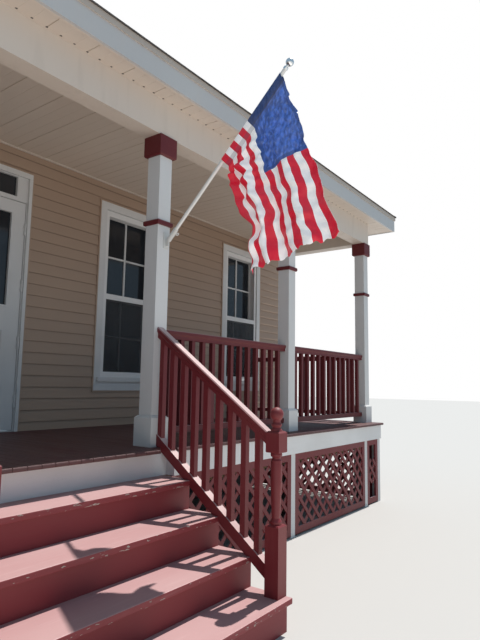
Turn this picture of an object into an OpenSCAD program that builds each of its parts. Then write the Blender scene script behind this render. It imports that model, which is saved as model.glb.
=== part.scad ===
// Front porch with a wide middle stair, boxed posts, railings, lattice skirt and a hipped roof.
// It stands against the stretch of house wall that it covers.
// Millimetres. X runs along the house, Y into the house, Z up. The origin is on the ground,
// in the middle of the stair, in the plane of the wall's outer face.

/* [Bays] */
// Distance between the axes of the posts beside the stair
bay_w = 1830; // [1600:10:2100]
// Distance between the axes of neighbouring posts in the railed bays
side_bay_w = 1795; // [1600:5:2100]
// Railed bays on each side of the stair
side_bays = 2; // [1:1:3]
// Depth of the deck from its front edge to the wall
porch_d = 1815; // [1600:10:2400]
// Post axis behind the front edge of the deck
post_set = 228; // [200:1:350]
// Deck edge beyond the axis of the end posts
deck_side = 95; // [90:1:220]

/* [Stair] */
// Rise of one step
riser_h = 183; // [150:1:195]
// Number of rises from the ground to the deck
riser_n = 5; // [4:1:6]
// Going of one step
run = 245; // [220:1:290]
// Setback of the top riser behind the rim board
stair_in = 72; // [60:1:200]
// Gap between the end of a tread and the side of the recess
stair_gap = 31; // [31:1:50]
// Width of the notch in the floor's overhang where a stair rail passes
rail_notch = 156; // [110:1:180]
// Thickness of a tread
tread_t = 32; // [25:1:40]
// Overhang of a tread past its riser
nosing = 32; // [15:1:35]
// Overhang of the floor boards past the rim board
floor_out = 25; // [15:1:32]
// Radius of the rounded edge of a tread or floor board
edge_r = 9; // [5:1:11]
// Thickness of a riser board
riser_t = 19; // [15:1:25]
// Thickness of a stringer
stringer_t = 38; // [30:1:50]

/* [Deck] */
// Thickness of the floor boards
floor_t = 25; // [20:1:35]
// Height of the rim board
rim_h = 160; // [140:1:200]
// Thickness of the rim board
rim_t = 38; // [25:1:45]
// Height of a joist and of the beam under the joists
joist_h = 140; // [120:1:150]
// Thickness of a joist
joist_t = 38; // [30:1:50]
// Width of a pier under the deck beam
pier_w = 140; // [100:1:180]

/* [Skirt] */
// Width of the upright strips between the lattice panels
strip_w = 70; // [50:1:100]
// Distance between the axes of neighbouring strips
strip_pitch = 1626; // [1200:1:1800]
// Thickness of the skirt's strips
strip_t = 20; // [18:1:30]
// Width of the boards that frame a lattice panel
skirt_board = 62; // [40:1:90]
// Width of a lattice slat
slat_w = 36; // [25:1:45]
// Thickness of a lattice slat
slat_t = 8; // [5:1:9]
// Distance between the axes of parallel slats
slat_pitch = 104; // [80:1:150]

/* [Posts] */
// Width of a boxed post
post_w = 121; // [100:1:150]
// Width of the plinth round the foot of a post
plinth_w = 166; // [155:1:200]
// Height of the plinth
plinth_h = 208; // [150:1:260]
// Bevel on top of the plinth
plinth_bevel = 16; // [6:1:20]
// Projection of the collar from the post
collar_out = 15; // [8:1:25]
// Height of the collar
collar_h = 36; // [25:1:60]
// Middle of the collar above the deck
collar_z = 1571; // [1300:1:1800]
// Width of the capital block
capital_w = 168; // [155:1:200]
// Height of the capital block
capital_h = 150; // [110:1:190]

/* [Railings] */
// Top of the bay rail above the deck
rail_h = 815; // [700:1:950]
// Width of the hand rail
rail_w = 64; // [50:1:80]
// Height of the hand rail
rail_t = 62; // [50:1:75]
// Width of the bottom rail
foot_w = 56; // [38:1:60]
// Height of the bottom rail
foot_t = 46; // [35:1:60]
// Clear height below the bottom rail
foot_gap = 76; // [50:1:100]
// Width of a square baluster
baluster_w = 36; // [28:1:38]
// Balusters in one bay
baluster_n = 13; // [10:1:15]
// Balusters in one side railing
side_baluster_n = 11; // [8:1:12]
// Balusters in one stair railing
stair_baluster_n = 9; // [6:1:10]
// Axis of a bay's first baluster from the post
baluster_in = 102; // [90:1:140]
// Axis of the stair's first baluster behind the newel
stair_baluster_in = 78; // [60:1:110]
// Top of the stair rail above the lowest tread, at the newel
stair_rail_h = 892; // [870:1:895]
// Top of the stair rail above the deck, at the post
stair_rail_top = 820; // [790:1:860]
// Top of the stair's bottom rail above the lowest tread, at the newel
stair_foot_h = 160; // [120:1:200]
// Top of the stair's bottom rail above the deck, at the plinth
stair_foot_top = 86; // [70:1:130]
// Upright height of the stair's bottom rail
stair_foot_t = 78; // [60:1:100]

/* [Newel] */
// Width of the newel's square blocks
newel_w = 89; // [80:1:100]
// Newel axis in from the end of the treads
newel_in = 45; // [45:1:90]
// Newel axis in front of the riser behind it
newel_out = 192; // [100:1:195]
// Height of the lower block
newel_block = 385; // [380:1:450]
// Height of the turned part
newel_turn = 395; // [340:1:450]
// Height of the upper block
newel_head = 120; // [110:1:150]
// Height of the neck under the ball
newel_neck = 55; // [30:1:60]
// Radius of the ball
ball_r = 40; // [34:1:44]

/* [House wall] */
// Thickness of the house wall
wall_t = 150; // [130:1:220]
// Projection of the foundation wall past the house wall's outer face
foundation_out = 30; // [0:1:60]
// Wall beyond the roof's end
wall_side = 168; // [50:1:300]
// Wall above the roof's upper edge
wall_over = 120; // [80:1:300]
// Axis of the inner window from the axis of the inner post
window_in = 1175; // [1000:1:1300]
// Outer edge of the outer window's casing beyond the axis of the end posts
window_end = 37; // [33:1:42]
// Width of a window over its casing
window_w = 860; // [760:1:900]
// Bottom of the window casing above the deck
window_low = 350; // [250:1:500]
// Top of the window casing above the deck
window_high = 2278; // [2100:1:2300]
// Width of the flat casing
casing_w = 75; // [60:1:120]
// Height of the board across the foot of a window
apron_h = 125; // [80:1:140]
// Meeting rails below the middle of a window
meeting_drop = 35; // [0:1:60]
// Thickness of the flat casing
casing_t = 22; // [18:1:30]
// Projection of a window sill past the casing
sill_out = 24; // [10:1:50]
// Thickness of the window's lining boards
lining_t = 22; // [18:1:30]
// Lap of the casing over the edge of the lining
casing_lap = 16; // [8:1:17]
// Face width of a sash
sash_w = 48; // [35:1:60]
// Thickness of a sash
sash_t = 32; // [28:1:36]
// Width of the sides of the frame in front of a window
screen_side = 40; // [25:1:50]
// Height of that frame's rails
screen_rail = 56; // [40:1:70]
// Thickness of the window and door glass
glass_t = 5; // [4:1:8]

/* [Doors] */
// Width of the doorway between the jambs
doorway_w = 1680; // [1500:1:1700]
// Height of a door leaf
leaf_h = 1986; // [1950:1:2050]
// Thickness of a door leaf
leaf_t = 44; // [38:1:50]
// Gap between a leaf and what it closes against
leaf_gap = 6; // [5:1:8]
// Gap between the two leaves
meeting_gap = 10; // [9:1:14]
// Clear height under a leaf, above the deck
leaf_lift = 16; // [14:1:25]
// Width of a leaf's stiles
stile_w = 128; // [100:1:150]
// Thickness of a jamb
jamb_t = 35; // [30:1:45]
// Width of the door casing
door_casing_w = 30; // [25:1:100]
// Projection of the door casing above the door frame
casing_over = 18; // [8:1:40]
// Height of the transom bar
transom_bar = 40; // [36:1:80]
// Clear height of the transom lights
transom_h = 178; // [150:1:200]
// Width of the frame beside a transom light
transom_side = 95; // [40:1:120]
// Radius of a hinge knuckle
knuckle_r = 8; // [7:1:9]

/* [Roof] */
// Ceiling above the top of the door casing
ceiling_over = 201; // [60:1:300]
// Thickness of the ceiling and soffit panels
ceiling_t = 12; // [8:1:20]
// Underside of the beam above the deck
beam_low = 2216; // [2100:1:2300]
// Width of the beam
beam_w = 140; // [125:1:150]
// Front fascia behind the front edge of the deck
fascia_in = -21; // [-60:1:90]
// End fascia beyond the axis of the end posts
fascia_side = 525; // [300:1:600]
// Height of the fascia
fascia_h = 178; // [150:1:220]
// Thickness of the fascia
fascia_t = 20; // [18:1:30]
// Roof pitch, rise over run
pitch = 0.25; // [0.15:0.01:0.4]
// Thickness of the roof boards
boards_t = 18; // [12:1:25]
// Thickness of the shingle layer
shingle_t = 9; // [6:1:14]
// Overhang of the shingles past the fascia
drip = 22; // [18:1:35]

/* [Flag] */
// Pole bracket above the deck
bracket_z = 1452; // [1300:1:1480]
// Bracket axis from the axis of its post
bracket_off = 22; // [0:1:30]
// Radius of the pole
pole_r = 12.5; // [10:0.5:15]
// Length of the pole
pole_l = 1360; // [1200:10:1500]
// Angle of the pole above level
pole_tilt = 45; // [40:1:50]
// Hoist of the flag, along the pole
flag_hoist = 650; // [500:1:660]
// Fly of the flag, hanging
flag_fly = 1155; // [900:1:1200]
// Lean of the hanging cloth away from the porch
flag_lean = 18; // [0:1:25]
// Depth of the hanging cloth with its folds
flag_t = 20; // [10:1:22]

/* [Hidden] */
$fn = 48;
seat = 0.3;
deck_z = riser_h * riser_n;
end_x = bay_w / 2 + side_bays * side_bay_w;
deck_half = end_x + deck_side;
rim_y = -porch_d + floor_out;
rim_half = deck_half - floor_out;
header_y = rim_y + stair_in;
recess_half = bay_w / 2 + stair_gap;
rim_z = deck_z - floor_t - rim_h;
post_y = -porch_d + post_set;
pier_end = rim_half - rim_t - pier_w / 2 - seat;
post_xs = [for (s = [-1, 1]) for (i = [0:side_bays]) s * (bay_w / 2 + i * side_bay_w)];
beam_z = deck_z + beam_low;
door_half = doorway_w / 2;
opening_half = door_half + jamb_t;
leaf_z = deck_z + leaf_lift;
leaf_w = door_half - leaf_gap - meeting_gap / 2;
bar_z = leaf_z + leaf_h + leaf_gap;
transom_z = bar_z + transom_bar;
head_z = transom_z + transom_h;
door_top = head_z + jamb_t;
ceiling_z = door_top + casing_over + ceiling_over;
stair_half = bay_w / 2;
tread_n = riser_n - 1;
low_tread_z = riser_h;
low_riser_y = header_y - (tread_n - 1) * run;
newel_x = stair_half - newel_in;
newel_y = low_riser_y - newel_out;
roof_half = end_x + fascia_side;
roof_y = -porch_d + fascia_in;
fascia_z = ceiling_z - 5;
eave_z = fascia_z + fascia_h;
roof_rise = -roof_y * pitch;
wall_half = roof_half + wall_side;
wall_z = deck_z - floor_t;
wall_top = eave_z + roof_rise + wall_over;
hinge_x = door_half - leaf_gap / 2;
hinge_y = -knuckle_r - 3;
hinge_n = 4;
knuckle_h = 34;
pin_r = 3.5;
transom_w = door_half - jamb_t / 2 - transom_side;
leaf_glass_low = 1075;
leaf_glass_high = 1890;
panel_low = 190;
panel_high = 880;
window_outer = end_x + window_end - window_w / 2;
window_xs = [for (s = [-1, 1]) for (x = [bay_w / 2 + window_in, window_outer]) s * x];
hole_w = window_w - 2 * casing_w + 2 * casing_lap;
hole_low = deck_z + window_low + apron_h - casing_lap;
hole_high = deck_z + window_high - casing_w + casing_lap;
sash_low = hole_low + lining_t;
sash_high = hole_high - lining_t;
meeting_z = (sash_low + sash_high) / 2 - meeting_drop;
upper_y = 80;
lower_y = upper_y + sash_t + 2;
screen_y = -8;
screen_t = 12;
beam_in = post_y + beam_w / 2;
bracket_x = bay_w / 2 + bracket_off;
bracket_y = post_y - post_w / 2;
socket_l = 95;
socket_r = pole_r + 5;
socket_out = 34;
flag_low = pole_l - flag_hoist - 36;
skirt_z = 15;

maroon = [0.42, 0.16, 0.17];
white = [0.9, 0.9, 0.88];
cream = [0.85, 0.79, 0.69];
tan = [0.74, 0.65, 0.55];

// Shapes that several pieces share

// A square block whose top and bottom edges are bevelled, standing on z = 0
module bevelled_block(w, h, top, bottom) {
    profile = [[-w / 2 + bottom, 0], [w / 2 - bottom, 0], [w / 2, bottom], [w / 2, h - top],
        [w / 2 - top, h], [-w / 2 + top, h], [-w / 2, h - top], [-w / 2, bottom]];
    intersection() {
        rotate([90, 0, 0]) linear_extrude(w, center = true) polygon(profile);
        rotate([90, 0, 90]) linear_extrude(w, center = true) polygon(profile);
    }
}

// A block that wraps the square shaft of a post
module post_wrap(w, h, top, bottom) {
    difference() {
        bevelled_block(w, h, top, bottom);
        translate([-post_w / 2, -post_w / 2, -1]) cube([post_w, post_w, h + 2]);
    }
}

module at_posts() {
    for (x = post_xs) translate([x, post_y, 0]) children();
}

// A flat frame in the XZ plane with its front at y = 0
module flat_frame(w, h, border, t) {
    translate([-w / 2, 0, 0]) difference() {
        cube([w, t, h]);
        translate([border, -1, border]) cube([w - 2 * border, t + 2, h - 2 * border]);
    }
}

module mirrored() {
    children();
    mirror([1, 0, 0]) children();
}

// House wall

module foundation() {
    color([0.6, 0.58, 0.55]) {
        translate([-wall_half, -foundation_out, 0])
            cube([2 * wall_half, wall_t + foundation_out, wall_z]);
        for (x = post_xs)
            translate([sign(x) * min(abs(x), pier_end) - pier_w / 2, post_y - pier_w / 2, 0])
                cube([pier_w, pier_w, deck_z - floor_t - 2 * joist_h]);
    }
}

module house_wall_side() {
    color(tan) difference() {
        translate([opening_half, 0, wall_z])
            cube([wall_half - opening_half, wall_t, wall_top - wall_z]);
        for (x = window_xs) if (x > 0) translate([x - hole_w / 2, -1, hole_low])
            cube([hole_w, wall_t + 2, hole_high - hole_low]);
    }
}

module house_wall_right() {
    house_wall_side();
}

module house_wall_left() {
    mirror([1, 0, 0]) house_wall_side();
}

module house_wall_over_door() {
    color(tan) translate([-opening_half, 0, door_top])
        cube([2 * opening_half, wall_t, wall_top - door_top]);
}

// Doorway

module door_frame() {
    color(white) {
        difference() {
            translate([-opening_half, 0, wall_z])
                cube([2 * opening_half, wall_t, door_top - wall_z]);
            translate([-door_half, -1, wall_z - 1])
                cube([2 * door_half, wall_t + 2, bar_z - wall_z + 1]);
            mirrored() translate([jamb_t / 2, -1, transom_z])
                cube([transom_w, wall_t + 2, transom_h]);
        }
        mirrored() translate([door_half - 12, leaf_t + leaf_gap, deck_z])
            cube([12, 20, bar_z - deck_z]);
        translate([-door_half + 12, leaf_t + leaf_gap, bar_z - 12])
            cube([2 * door_half - 24, 20, 12]);
        translate([-door_half, 0, wall_z]) cube([2 * door_half, wall_t, floor_t + 6]);
        mirrored() hinge_pins();
    }
}

module door_casing() {
    outer = opening_half - jamb_t + 8;
    color(white) difference() {
        translate([-outer - door_casing_w, -casing_t, deck_z])
            cube([2 * (outer + door_casing_w), casing_t, door_top + casing_over - deck_z]);
        translate([-outer, -casing_t - 1, deck_z - 1])
            cube([2 * outer, casing_t + 2, head_z + 8 - deck_z]);
    }
}

function hinge_z(i) = leaf_z + leaf_h * (0.12 + 0.76 * i / (hinge_n - 1));

// The frame's middle knuckle of each hinge, with the pin through it
module hinge_pins() {
    for (i = [0:hinge_n - 1]) translate([hinge_x, hinge_y, hinge_z(i)]) {
        translate([0, 0, -knuckle_h / 2]) cylinder(r = knuckle_r, h = knuckle_h);
        translate([0, 0, -1.5 * knuckle_h - 4]) cylinder(r = pin_r, h = 3 * knuckle_h + 8);
        translate([0, 0, -knuckle_h / 2]) cube([leaf_gap / 2 + 5, 2 - hinge_y, knuckle_h]);
    }
}

// A leaf seen from outside, hinged on its right, with its panel, moulding and knuckles
module leaf() {
    left = hinge_x - leaf_gap / 2 - leaf_w;
    inner_w = leaf_w - 2 * stile_w;
    color(white) difference() {
        union() {
            translate([left, 0, leaf_z]) cube([leaf_w, leaf_t, leaf_h]);
            translate([left + leaf_w / 2, -7, deck_z + panel_low])
                flat_frame(inner_w, panel_high - panel_low, 26, 8);
            translate([left + leaf_w / 2, -5, deck_z + leaf_glass_low - 18])
                flat_frame(inner_w + 36, leaf_glass_high - leaf_glass_low + 36, 18, 6);
            for (i = [0:hinge_n - 1]) for (s = [-1, 1])
                translate([hinge_x, hinge_y, hinge_z(i) + s * (knuckle_h + 1)]) {
                    translate([0, 0, -knuckle_h / 2]) cylinder(r = knuckle_r, h = knuckle_h);
                    translate([-leaf_gap / 2 - 8, 0, -knuckle_h / 2])
                        cube([leaf_gap / 2 + 6, -hinge_y + 1, knuckle_h]);
                }
        }
        translate([left + stile_w, -1, deck_z + leaf_glass_low])
            cube([inner_w, leaf_t + 2, leaf_glass_high - leaf_glass_low]);
        translate([left + stile_w + 26, -8, deck_z + panel_low + 26])
            cube([inner_w - 52, 14, panel_high - panel_low - 52]);
        for (i = [0:hinge_n - 1]) translate([hinge_x, hinge_y, hinge_z(i) - 1.5 * knuckle_h - 2])
            cylinder(r = pin_r + seat, h = 3 * knuckle_h + 4);
    }
}

module leaf_glass() {
    left = hinge_x - leaf_gap / 2 - leaf_w;
    color([0.15, 0.16, 0.18])
        translate([left + stile_w, leaf_t / 2 - glass_t / 2, deck_z + leaf_glass_low])
            cube([leaf_w - 2 * stile_w, glass_t, leaf_glass_high - leaf_glass_low]);
}

module leaf_handle() {
    left = hinge_x - leaf_gap / 2 - leaf_w;
    color([0.6, 0.5, 0.3]) translate([left + 58, 0, deck_z + 990]) {
        translate([-18, -3, -75]) cube([36, 3, 150]);
        rotate([90, 0, 0]) cylinder(r = 10, h = 45);
        translate([0, -50, 0]) rotate([90, 0, 0]) cylinder(r = 26, h = 12);
        translate([0, -45, 0]) rotate([90, 0, 0]) cylinder(r = 18, h = 8);
    }
}

module door_leaf_right() {
    leaf();
}

module door_glass_right() {
    leaf_glass();
}

module door_handle_right() {
    leaf_handle();
}

module door_leaf_left() {
    mirror([1, 0, 0]) leaf();
}

module door_glass_left() {
    mirror([1, 0, 0]) leaf_glass();
}

module door_handle_left() {
    mirror([1, 0, 0]) leaf_handle();
}

// Windows

module at_windows() {
    for (x = window_xs) translate([x, 0, 0]) children();
}

module window_casings() {
    color(white) at_windows() {
        translate([0, -casing_t, deck_z + window_low])
            flat_frame(window_w, window_high - window_low, casing_w, casing_t);
        translate([-window_w / 2, -casing_t, deck_z + window_low])
            cube([window_w, casing_t, apron_h]);
        translate([0, 0, hole_low]) flat_frame(hole_w, hole_high - hole_low, lining_t, wall_t);
        translate([-hole_w / 2 - 30, -casing_t - sill_out, hole_low - 20])
            cube([hole_w + 60, casing_t + sill_out, lining_t + 20]);
    }
}

module sashes(y, low, high) {
    color(white) at_windows() translate([0, y, low])
        flat_frame(hole_w - 2 * lining_t, high - low, sash_w, sash_t);
}

module window_sashes() {
    sashes(upper_y, meeting_z - sash_w / 2, sash_high);
    sashes(lower_y, sash_low, meeting_z + sash_w / 2);
}

module window_glass() {
    pane_w = hole_w - 2 * lining_t - 2 * sash_w;
    upper_h = sash_high - meeting_z - 1.5 * sash_w;
    lower_h = meeting_z - sash_low - 1.5 * sash_w;
    color([0.3, 0.33, 0.36]) {
        at_windows() {
            translate([-pane_w / 2, upper_y + sash_t / 2, meeting_z + sash_w / 2])
                cube([pane_w, glass_t, upper_h]);
            translate([-pane_w / 2, lower_y + sash_t / 2, sash_low + sash_w])
                cube([pane_w, glass_t, lower_h]);
        }
        mirrored() translate([jamb_t / 2, 30, transom_z]) cube([transom_w, glass_t, transom_h]);
    }
}

// A frame in front of each window, with a mesh in its lower half
module window_screens() {
    w = hole_w - 2 * lining_t;
    h = sash_high - sash_low;
    middle = meeting_z - sash_low;
    color([0.7, 0.7, 0.69]) at_windows() translate([0, screen_y, sash_low]) {
        flat_frame(w, h, screen_side, screen_t);
        for (z = [0, middle - screen_rail / 2, h - screen_rail])
            translate([-w / 2, 0, z]) cube([w, screen_t, screen_rail]);
        translate([-w / 2 + screen_side - 1, screen_t / 2, screen_rail - 1])
            cube([w - 2 * screen_side + 2, 1, middle - 1.5 * screen_rail + 2]);
    }
}

// Deck

// Outline of a board's cross section with its front edge, at x = 0, rounded
module board_profile(depth, t) {
    translate([edge_r, 0]) square([depth - edge_r, t]);
    translate([0, edge_r]) square([edge_r + 1, t - 2 * edge_r]);
    translate([edge_r, edge_r]) circle(r = edge_r);
    translate([edge_r, t - edge_r]) circle(r = edge_r);
}

// Floor with rounded edges. A notch on each side of the stair lets the stair's rail pass.
module deck_floor() {
    color(maroon) translate([0, 0, deck_z - floor_t]) difference() {
        intersection() {
            translate([-deck_half - 1, -porch_d, 0]) rotate([90, 0, 90])
                linear_extrude(2 * deck_half + 2) board_profile(porch_d, floor_t);
            rotate([90, 0, 0]) linear_extrude(porch_d + 1) {
                translate([-deck_half, 0]) board_profile(deck_half + 1, floor_t);
                mirror([1, 0]) translate([-deck_half, 0]) board_profile(deck_half + 1, floor_t);
            }
        }
        mirrored() translate([recess_half - rail_notch, -porch_d - 1, -1])
            cube([rail_notch, header_y + porch_d + 1, floor_t + 2]);
    }
}

// Rim boards on the front and the ends, with the recess for the top of the stair
module rim_boards() {
    color(white) {
        translate([-recess_half - rim_t, header_y, rim_z])
            cube([2 * (recess_half + rim_t), rim_t, rim_h]);
        mirrored() {
            translate([recess_half, rim_y, rim_z]) cube([rim_half - recess_half, rim_t, rim_h]);
            translate([recess_half, rim_y + rim_t - 1, rim_z])
                cube([rim_t, header_y - rim_y - rim_t + 2, rim_h]);
            translate([rim_half - rim_t, rim_y + rim_t - 1, rim_z])
                cube([rim_t, -rim_y - rim_t - foundation_out + 1, rim_h]);
        }
    }
}

// Joists on a beam
module deck_framing() {
    n = 2 * (2 * side_bays + 1);
    color([0.62, 0.52, 0.4]) {
        for (i = [0:n]) {
            x = -end_x + i * 2 * end_x / n;
            front = (abs(x) > recess_half + rim_t + joist_t) ? rim_y + rim_t : header_y + rim_t;
            translate([x - joist_t / 2, front, deck_z - floor_t - joist_h])
                cube([joist_t, -front - foundation_out, joist_h]);
        }
        translate([-rim_half + rim_t, post_y - joist_t, deck_z - floor_t - 2 * joist_h])
            cube([2 * (rim_half - rim_t), 2 * joist_t, joist_h - seat]);
    }
}

// Skirt of lattice panels under the rim

// Left and right ends of the panels in front, on the right of the stair
skirt_y = rim_y + rim_t - strip_t;
skirt_0 = recess_half - strip_w / 2;
skirt_n = ceil((rim_half - strip_w - skirt_0) / strip_pitch);
skirt_ends = [for (i = [0:skirt_n - 1])
    [skirt_0 + i * strip_pitch + strip_w / 2,
    min(skirt_0 + (i + 1) * strip_pitch - strip_w / 2, rim_half - strip_w)]];
skirt_side_l = -skirt_y - strip_w - foundation_out;

module skirt_strips() {
    color(white) mirrored() {
        for (i = [1:skirt_n - 1]) translate([skirt_ends[i][0] - strip_w, skirt_y, 0])
            cube([strip_w, strip_t, rim_z]);
        translate([rim_half - strip_w, skirt_y, 0]) cube([strip_w, strip_w, rim_z]);
    }
}

module panel_frame(w) {
    translate([w / 2, 0, skirt_z]) flat_frame(w, rim_z - skirt_z, skirt_board, strip_t);
}

// Two layers of crossing slats, cut to the panel's clear width and height
module lattice_panel(w) {
    clear_w = w - 2 * skirt_board;
    clear_h = rim_z - skirt_z - 2 * skirt_board;
    step = slat_pitch * sqrt(2);
    count = ceil((clear_w + clear_h) / step / 2);
    translate([w / 2, strip_t / 2, (skirt_z + rim_z) / 2]) intersection() {
        cube([clear_w, 2 * slat_t, clear_h], center = true);
        union() {
            for (s = [-1, 1]) for (i = [-count:count]) translate([i * step, s * (slat_t / 2 - 0.3), 0])
                rotate([0, 45 * s, 0]) cube([slat_w, slat_t, 2 * clear_w], center = true);
        }
    }
}

module skirt_side() {
    translate([rim_half - rim_t + strip_t, skirt_y + strip_w, 0]) rotate([0, 0, 90])
        mirror([0, 1, 0]) children();
}

module skirt_frames() {
    color(maroon) mirrored() {
        for (e = skirt_ends) translate([e[0], skirt_y, 0]) panel_frame(e[1] - e[0]);
        skirt_side() translate([0, -strip_t, 0]) panel_frame(skirt_side_l);
    }
}

module lattice_front() {
    color(maroon) mirrored() for (e = skirt_ends)
        translate([e[0], skirt_y, 0]) lattice_panel(e[1] - e[0]);
}

module lattice_ends() {
    color(maroon) mirrored() skirt_side() translate([0, -strip_t, 0]) lattice_panel(skirt_side_l);
}

// Stair

function tread_z(k) = deck_z - k * riser_h;
function riser_y(k) = header_y - k * run;

module stair_treads() {
    color(maroon) for (k = [1:tread_n])
        translate([-stair_half, riser_y(k) - nosing, tread_z(k) - tread_t]) rotate([90, 0, 90])
            linear_extrude(2 * stair_half) board_profile(run + nosing, tread_t);
}

module stair_risers() {
    color(maroon) for (k = [1:tread_n]) {
        low = (k == tread_n) ? 0 : tread_z(k + 1);
        translate([-stair_half + 8, riser_y(k), low])
            cube([2 * stair_half - 16, riser_t, tread_z(k) - tread_t - low]);
    }
}

module stair_stringers() {
    outline = concat(
        [[header_y, tread_z(1) - tread_t - 260], [header_y, tread_z(1) - tread_t]],
        [for (k = [1:tread_n]) for (p = [
            [riser_y(k) + riser_t, tread_z(k) - tread_t],
            [riser_y(k) + riser_t, (k == tread_n) ? 0 : tread_z(k + 1) - tread_t]]) p],
        [[riser_y(tread_n) + 260, 0]]);
    color(maroon) for (x = [-stair_half + 20, -stringer_t / 2, stair_half - 20 - stringer_t])
        translate([x, 0, 0]) rotate([90, 0, 90]) linear_extrude(stringer_t) polygon(outline);
}

// A newel: square block, turned part, square head and ball
module newel() {
    r = newel_w / 2;
    turn_top = newel_block + newel_turn;
    head_top = turn_top + newel_head;
    bevelled_block(newel_w, newel_block, 9, 0);
    translate([0, 0, newel_block]) rotate_extrude() polygon([
        [0, -1], [r - 13, -1], [r - 11, 8], [r - 11, 16], [r - 17, 26], [r - 21, 34],
        [r - 20, 46], [r - 17, newel_turn * 0.3], [r - 12, newel_turn * 0.55],
        [r - 12, newel_turn * 0.8], [r - 14, newel_turn - 44], [r - 21, newel_turn - 36],
        [r - 21, newel_turn - 27], [r - 12, newel_turn - 20], [r - 11, newel_turn - 10],
        [r - 14, newel_turn + 1], [0, newel_turn + 1]]);
    translate([0, 0, turn_top]) bevelled_block(newel_w, newel_head, 10, 4);
    translate([0, 0, head_top]) rotate_extrude() polygon([
        [0, -1], [33, -1], [34, 5], [29, 12], [24, 17], [24, 22], [30, 29], [31, 36], [27, 42],
        [22, newel_neck - 6], [24, newel_neck + 12], [0, newel_neck + 12]]);
    translate([0, 0, head_top + newel_neck + ball_r]) sphere(r = ball_r);
}

module newel_posts() {
    color(maroon) mirrored() translate([newel_x, newel_y, low_tread_z]) newel();
}

// Profile of the moulded hand rail, its top at y = 0
module rail_profile() {
    half = rail_w / 2;
    polygon([[-half + 7, 0], [half - 7, 0], [half, -6], [half, -rail_t * 0.42],
        [half - 9, -rail_t * 0.62], [half - 9, -rail_t], [-half + 9, -rail_t],
        [-half + 9, -rail_t * 0.62], [-half, -rail_t * 0.42], [-half, -6]]);
}

// The stair rail runs from the newel's back face to the front of the post or its plinth
rail_y0 = newel_y + newel_w / 2;
rail_y1 = post_y - post_w / 2;
foot_y1 = post_y - plinth_w / 2;
rail_z0 = low_tread_z + stair_rail_h;
rail_z1 = deck_z + stair_rail_top;
foot_z0 = low_tread_z + stair_foot_h;
foot_z1 = deck_z + stair_foot_top;
rail_rise = (rail_z1 - rail_z0) / (rail_y1 - rail_y0);
foot_rise = (foot_z1 - foot_z0) / (foot_y1 - rail_y0);
rail_skew = (stair_half - newel_x) / (rail_y1 - rail_y0);
rail_steep = 1 / cos(atan(rail_rise));

// Carries a level stretch that starts at the newel onto the slope
module rising(z, slope) {
    translate([newel_x, rail_y0, z])
        multmatrix([[1, rail_skew, 0, 0], [0, 1, 0, 0], [0, slope, 1, 0], [0, 0, 0, 1]]) children();
}

module stair_rail() {
    color(maroon) {
        rising(rail_z0, rail_rise) translate([0, rail_y1 - rail_y0, 0]) rotate([90, 0, 0])
            linear_extrude(rail_y1 - rail_y0) scale([1, rail_steep]) rail_profile();
        difference() {
            rising(foot_z0, foot_rise) translate([-foot_w / 2, 0, -stair_foot_t])
                cube([foot_w, foot_y1 - rail_y0, stair_foot_t]);
            translate([0, header_y, 0]) cube([2 * stair_half, stair_in, deck_z]);
            for (k = [1:tread_n])
                translate([-stair_half, riser_y(k) - nosing - 1, tread_z(k) - tread_t - 1])
                    cube([2 * stair_half + 1, run + nosing + 2, tread_t + 2]);
        }
        for (i = [1:stair_baluster_n]) {
            last = foot_y1 - rail_y0 - baluster_w / 2 - 2;
            y = stair_baluster_in + (i - 1) * (last - stair_baluster_in) / (stair_baluster_n - 1);
            low = foot_z0 + y * foot_rise - baluster_w / 2 * foot_rise - 9;
            high = rail_z0 + y * rail_rise - rail_t / 2;
            translate([newel_x + y * rail_skew - baluster_w / 2, rail_y0 + y - baluster_w / 2, low])
                cube([baluster_w, baluster_w, high - low]);
        }
    }
}

module stair_rails() {
    mirrored() stair_rail();
}

// Posts

module porch_posts() {
    color(white) at_posts() translate([-post_w / 2, -post_w / 2, deck_z])
        cube([post_w, post_w, beam_z - deck_z]);
}

module post_plinths() {
    color(white) at_posts() translate([0, 0, deck_z]) post_wrap(plinth_w, plinth_h, plinth_bevel, 0);
}

module post_collars() {
    color(maroon) at_posts() translate([0, 0, deck_z + collar_z - collar_h / 2])
        post_wrap(post_w + 2 * collar_out, collar_h, 6, 6);
}

module post_capitals() {
    color(maroon) at_posts() translate([0, 0, beam_z - capital_h]) post_wrap(capital_w, capital_h, 0, 8);
}

// Railings

// A railing of hand rail, bottom rail and balusters, from x = 0 to x = length. The bottom rail
// stops short of each end by what a plinth stands out from its post, and the hand rail stops
// short of its far end by what it meets there.
module railing(length, count, near, far, stop) {
    color(maroon) {
        translate([0, 0, deck_z + rail_h]) rotate([90, 0, 90]) linear_extrude(length - stop)
            rail_profile();
        translate([near, -foot_w / 2, deck_z + foot_gap]) cube([length - near - far, foot_w, foot_t]);
        for (i = [1:count])
            translate([baluster_in + (i - 1) * (length - 2 * baluster_in) / (count - 1)
                - baluster_w / 2, -baluster_w / 2, deck_z + foot_gap + foot_t - 1])
                cube([baluster_w, baluster_w, rail_h - rail_t - foot_gap - foot_t + 2]);
    }
}

plinth_out = (plinth_w - post_w) / 2;

module rails_right() {
    for (i = [0:side_bays - 1]) translate([bay_w / 2 + i * side_bay_w + post_w / 2, post_y, 0])
        railing(side_bay_w - post_w, baluster_n, plinth_out, plinth_out, 0);
    translate([end_x, post_y + post_w / 2, 0]) rotate([0, 0, 90])
        railing(-post_y - post_w / 2, side_baluster_n, plinth_out, 0, casing_t + seat);
}

module rails_left() {
    mirror([1, 0, 0]) rails_right();
}

// Beam, ceiling and roof

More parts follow.
